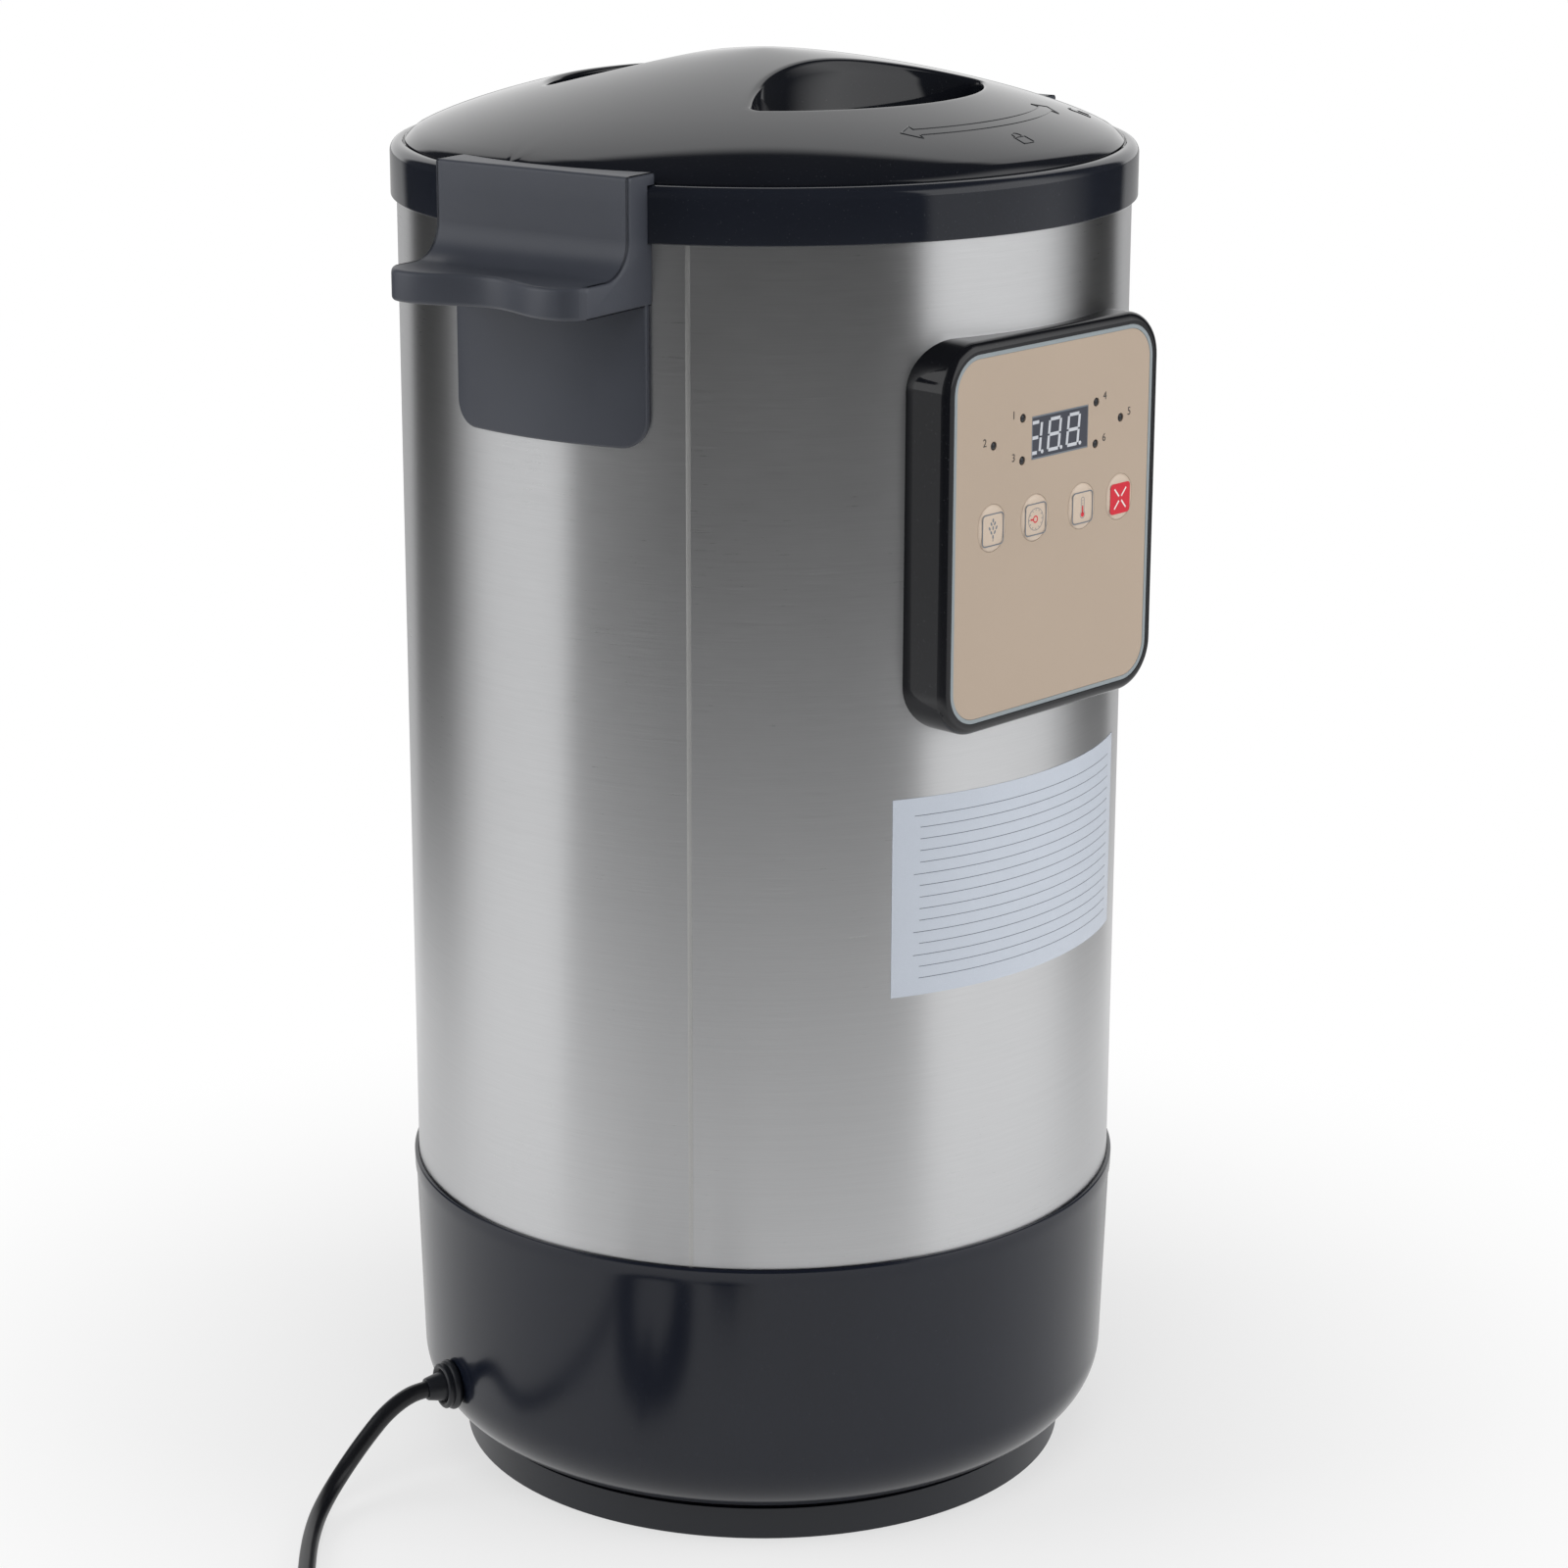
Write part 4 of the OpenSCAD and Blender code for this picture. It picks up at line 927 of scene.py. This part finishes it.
def addIcons():
    icon = {"half": 5.8, "corner": 1.6, "line": 0.42, "cross": 0.62, "lift": 0.37}
    names = ["mode_key", "time_key", "temperature_key", "cancel_key"]
    for index, body in enumerate(names):
        at = (box["keyAt"][index][0], box["keyAt"][index][1] - 0.5)
        top = onBox(pot["faceD"] + icon["lift"], at)
        frameBm, inkBm = bmesh.new(), bmesh.new()
        if body == "cancel_key":
            spots = squircle(icon["half"], icon["corner"])
            face = frameBm.faces.new([frameBm.verts.new(top @ (Vector((x, y, 0)) * mm)) for x, y in spots])
            made = bmesh.ops.extrude_face_region(frameBm, geom=[face])["geom"]
            bmesh.ops.translate(frameBm, vec=(0, -0.05 * mm, 0), verts=vertsIn(made))
            over = onBox(pot["faceD"] + 0.42, at)
            for sx, sy in ((1, 1), (1, -1), (-1, 1), (-1, -1)):
                addStroke(inkBm, [(0.7 * sx, 0.8 * sy), (3.4 * sx, 3.8 * sy)], icon["cross"], over)
            finishPiece("icon_frame_" + body, frameBm, "inkRed", body)
            finishPiece("icon_ink_" + body, inkBm, "inkPale", body)
            continue
        addStroke(frameBm, squircle(icon["half"], icon["corner"]), icon["line"], top, closed=True)
        ink = "inkGrey" if body == "mode_key" else "inkRed"
        if body == "mode_key":  # a sheaf of grains
            for row, count in ((-2.6, 1), (-1.0, 2), (0.6, 3), (2.2, 2), (3.4, 1)):
                for k in range(count):
                    x = (k - (count - 1) / 2) * 1.9
                    lean = -28 * ((x > 0) - (x < 0))
                    addBlob(inkBm, (x, row), 0.42, 0.78, top, turn=lean, segments=12)
            addStroke(inkBm, [(0, -4.3), (0, -3.2)], 0.3, top)
        elif body == "time_key":  # a clock face with one hand
            addStroke(frameBm, arc((0, 0), 4.1, 0, 354, 40), 0.2, top, closed=True)
            for hour in range(12):
                a = math.radians(30 * hour)
                ends = [(r * math.cos(a), r * math.sin(a)) for r in (3.2, 3.7)]
                addStroke(frameBm, ends, 0.3, top)
            addStroke(inkBm, arc((-0.2, 0), 1.15, 0, 345, 20), 0.5, top, closed=True)
            addStroke(inkBm, [(-1.4, 0), (-3.0, 0.1)], 0.7, top)
        else:  # a thermometer
            tube = arc((0, 3.1), 0.85, 0, 180, 8) + arc((0, -2.6), 1.35, 130, 410, 18)
            addStroke(frameBm, tube, 0.22, top, closed=True)
            for k in range(4):
                addStroke(frameBm, [(-0.4, 2.6 - 0.9 * k), (0.3, 2.6 - 0.9 * k)], 0.16, top)
            addBlob(inkBm, (0, -2.6), 0.95, 0.95, top)
            addStroke(inkBm, [(0, -2.0), (0, 0.6)], 0.75, top)
        finishPiece("icon_ink_" + body, inkBm, ink, body)
        finishPiece("icon_frame_" + body, frameBm, "inkGrey", body)


def addDigits():
    # three unlit seven-segment digits behind the window; the left one is half hidden
    digit = {"w": 6.2, "h": 11.2, "bar": 1.25, "gap": 0.35, "slant": 0.10, "at": [-14.2, -3.3, 7.6],
             "dot": 0.75}
    bm = bmesh.new()
    depth = onBox(pot["faceD"] - 0.33, box["displayAt"])
    for at in digit["at"]:
        x, y, g = digit["w"] / 2, digit["h"] / 2, digit["gap"]
        bars = [((-x + g, y), (x - g, y)), ((-x + g, 0), (x - g, 0)), ((-x + g, -y), (x - g, -y)),
                ((-x, g), (-x, y - g)), ((x, g), (x, y - g)), ((-x, -g), (-x, -y + g)),
                ((x, -g), (x, -y + g))]
        for ends in bars:
            spots = [(at + px + py * digit["slant"], py) for px, py in ends]
            if min(px for px, py in spots) > -box["displayW"] / 2 + 0.4:
                addStroke(bm, spots, digit["bar"], depth)
        addBlob(bm, (at + x + 1.5 - y * digit["slant"], -y), digit["dot"], digit["dot"], depth, segments=12)
    left = -box["displayW"] / 2 + 0.35
    for right, y in ((-12.2, 5.6), (-12.6, 0), (-13.2, -5.6)):  # what shows of the left digit's bars
        addStroke(bm, [(left, y), (right, y)], digit["bar"], depth)
    finishPiece("display_digits", bm, "digitGrey", "drum")
    rim = bmesh.new()
    x, y = box["displayW"] / 2 - 0.3, box["displayH"] / 2 - 0.3
    addStroke(rim, [(-x, -y), (x, -y), (x, y), (-x, y), (-x, -y)], 0.6,
              onBox(pot["faceD"] - 0.36, box["displayAt"]))
    return finishPiece("display_rim", rim, "inkGrey", "drum")


def addNumbers():
    # plain numbers beside the six lamps
    bm = bmesh.new()
    offsets = [(-5.2, 1.6), (-5.0, 1.6), (-5.0, 1.6), (5.0, 1.6), (5.0, 1.6), (5.0, 1.6)]
    for index, (at, shift) in enumerate(zip(box["lampAt"], offsets)):
        text = bpy.data.curves.new("number", "FONT")
        text.body = str(index + 1)
        text.size = 4.2 * mm
        text.align_x = text.align_y = "CENTER"
        text.resolution_u = 3
        text.extrude = 0.03 * mm
        holder = addObject("number", text)
        bpy.context.view_layer.update()
        flat = bpy.data.meshes.new_from_object(holder)
        flat.transform(onBox(pot["faceD"] - 0.27, (at[0] + shift[0], at[1] + shift[1])))
        bm.from_mesh(flat)
        bpy.data.objects.remove(holder)
        bpy.data.meshes.remove(flat)
    return finishPiece("lamp_numbers", bm, "inkBlack", "drum")


def addLabel():
    # a write-on label below the box: four fields of ruled lines
    label = {"half": 27.2, "low": 225.5, "high": 302, "r0": 140.02, "r1": 140.2, "margin": 2.6,
             "rows": 15, "fields": (0, 5, 10, 12), "firstRow": 7, "pitch": 4.5, "rule": 0.28}
    bm = bmesh.new()
    low, high = label["low"], label["high"]
    sheet = [(label["r0"], low), (label["r1"], low), (label["r1"], high), (label["r0"], high)]
    spinProfile(bm, sheet, 48, 2 * label["half"], -90 - label["half"])
    finishPiece("blank_label", bm, "labelFilm", "drum", ["info_label"])
    lines = bmesh.new()
    r0, r1 = label["r1"] - 0.05, label["r1"] + 0.03
    for row in range(label["rows"]):
        z = label["high"] - label["firstRow"] - row * label["pitch"]
        start = -90 - label["half"] + (3.6 if row in label["fields"] else 4.6)
        stop = -90 + label["half"] - label["margin"]
        over = z + label["rule"]
        spinProfile(lines, [(r0, z), (r1, z), (r1, over), (r0, over)], 40, stop - start, start)
    return finishPiece("label_rules", lines, "ruleGrey", "drum")


addHousing()
addLamps()
for index, word in enumerate(("mode", "time", "temperature", "cancel")):
    addKey(index, word + "_key", "key_" + word)
addIcons()
addDigits()
addNumbers()
addLabel()
print("control box and label made")


kept = {  # the nodes that show as they are, by finish
    "footPlastic": ["bottom_cover"],
    "padRubber": ["foot_pads", "panel_gasket"],
    "screwZinc": ["bottom_screws", "shell_screws", "handle_screws", "heater_studs",
                  "power_board_screws", "panel_screws", "control_board_screws", "lid_screws"],
    "sheetSteel": ["heat_shield", "heater_ring"],
    "feltWool": ["felt_jacket"],
    "tankSteel": ["tank", "lid_liner"],
    "sealSilicone": ["tank_gasket", "lid_seal"],
    "castAluminium": ["heater_plate", "temperature_sensor"],
    "partTan": ["thermal_cutout"],
    "partWhite": ["thermal_fuse", "terminal_block"],
    "boardGreen": ["power_board", "control_board"],
    "partYellow": ["transformer"],
    "partBlue": ["relay"],
    "glassTube": ["fuse"],
    "partBlack": ["wire_harness", "display_module", "tact_switches", "buzzer"],
    "cordRubber": ["mains_lead"],
    "pinMetal": ["plug_pins"],
    "faceFilm": ["faceplate"],
    "borderSilver": ["panel_border"],
    "windowSmoke": ["display_window"],
}
for finishName, nodes in kept.items():
    for node in nodes:
        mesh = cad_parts[node].data
        mesh.materials.clear()
        mesh.materials.append(finish[finishName])
print("finishes given to", sum(len(nodes) for nodes in kept.values()), "nodes")


studio = {"floorR": 12, "floorTone": 0.88, "reach": 0.80, "backdropFrom": 141, "ambient": 0.38,
          "left": 1.20, "right": 1.30, "spill": 0.16, "dark": 0.045, "shadow": 0.70,
          "lamps": [  # angle from the camera, height, distance, width, tall, watts
              (-78, 0.75, 1.7, 1.1, 1.5, 15), (76, 0.75, 1.7, 1.1, 1.5, 15), (0, 1.9, 1.2, 1.2, 1.2, 9)]}


def studioTone(angle, height):
    # brightness of the room seen from the pot: angle from the camera in degrees, height as a sine
    left = (1 - angle.step(-64, -58)) * angle.step(-118, -90)
    right = angle.step(47, 52) * (1 - angle.step(92, 120))
    spill = (1 - angle.step(-58, -20)) * angle.step(-64, -58) * studio["spill"]
    tall = 1 - height.step(0.55, 0.80)
    edge = studio["backdropFrom"]
    back = angle.sum("ABSOLUTE").step(edge - 4, edge + 4) * (1 - height.step(0.70, 0.76))
    dark = studio["dark"] - height.sum("MAXIMUM", 0.0) * 0.015
    boxes = (left * studio["left"] + right * studio["right"]) * tall + spill * tall
    return (dark + boxes).sum("MAXIMUM", back)


def cameraAngle(x, y):
    # degrees round the axis from the side where the camera stands, for a place or a direction
    turn = math.radians(view["turn"])
    right = x * math.cos(turn) - y * math.sin(turn)
    towards = (x * math.sin(turn) + y * math.cos(turn)) * -1
    return right.sum("ARCTAN2", towards) * (180 / math.pi)


def addWorld():
    world = bpy.data.worlds.new("studio")
    scene.world = world
    world.use_nodes = True
    tree = world.node_tree
    world.cycles.sampling_method = "NONE"
    coord = Wire(tree.nodes.new("ShaderNodeTexCoord").outputs["Generated"])
    path = tree.nodes.new("ShaderNodeLightPath").outputs
    seen = Wire(path["Is Camera Ray"])
    mirrored = Wire(path["Is Glossy Ray"]).sum("MAXIMUM", Wire(path["Is Transmission Ray"]))
    tone = studioTone(cameraAngle(coord.part(0), coord.part(1)), coord.part(2))
    level = seen + (1 - seen) * (mirrored * tone + (1 - mirrored) * studio["ambient"])
    background = tree.nodes["Background"]
    background.inputs["Color"].default_value = (1, 1, 1, 1)
    feed(background, "Strength", level)


def addFloor():
    bm = bmesh.new()
    under = Matrix.Translation((0, 0, -0.0004))
    bmesh.ops.create_circle(bm, cap_ends=True, radius=studio["floorR"], segments=96, matrix=under)
    mesh = bpy.data.meshes.new("floor")
    bm.to_mesh(mesh)
    bm.free()
    material = bpy.data.materials.new("floorPaper")
    material.use_nodes = True
    tree = material.node_tree
    place = Wire(tree.nodes.new("ShaderNodeTexCoord").outputs["Object"])
    path = tree.nodes.new("ShaderNodeLightPath").outputs
    seen = Wire(path["Is Camera Ray"])
    mirrored = Wire(path["Is Glossy Ray"]).sum("MAXIMUM", Wire(path["Is Transmission Ray"]))
    x, y = place.part(0), place.part(1)
    distance = (x * x + y * y) ** 0.5
    near = 1 / (1 + (distance / studio["reach"]) ** 4)
    underPot = studio["shadow"] + distance.step(0.35, 0.62) * 0.35  # the pot shades the floor beside it
    tone = studioTone(cameraAngle(x, y), 0.0 * x)
    paper = tree.nodes["Principled BSDF"]
    paper.inputs["Base Color"].default_value = (studio["floorTone"],) * 3 + (1,)
    paper.inputs["Roughness"].default_value = 0.9
    paper.inputs["Specular IOR Level"].default_value = 0.0
    glow = tree.nodes.new("ShaderNodeEmission")
    share = distance.step(0.12, 0.5)
    # painted light and shade: seen in reflections the floor glows, with painted shadow beside the pot and,
    # further out, painted light towards the soft boxes and the backdrop
    feed(glow, "Strength", seen + mirrored * (near * underPot + (1 - near) * tone * 0.45))
    mix = tree.nodes.new("ShaderNodeMixShader")
    feed(mix, "Fac", (seen * (0.6 + share * 0.4)).sum("MAXIMUM", mirrored))
    tree.links.new(paper.outputs[0], mix.inputs[1])
    tree.links.new(glow.outputs[0], mix.inputs[2])
    tree.links.new(mix.outputs[0], tree.nodes["Material Output"].inputs["Surface"])
    mesh.materials.append(material)
    floor = addObject("floor", mesh)


def addLamp(name, angle, height, distance, wide, tall, power):
    data = bpy.data.lights.new(name, "AREA")
    data.shape, data.size, data.size_y, data.energy = "RECTANGLE", wide, tall, power
    lamp = addObject(name, data)
    turn = math.radians(angle - view["turn"])
    place = Vector((distance * math.sin(turn), -distance * math.cos(turn), height))
    aim = Vector((0, 0, 0.28)) - place  # at the middle of the pot
    lamp.matrix_world = Matrix.Translation(place) @ aim.to_track_quat("-Z", "Y").to_matrix().to_4x4()
    lamp.visible_glossy = False
    lamp.visible_camera = False


addWorld()
addFloor()
for number, values in enumerate(studio["lamps"]):
    addLamp("lamp_%d" % number, *values)
scene.view_settings.view_transform = "Standard"
print("studio lit")
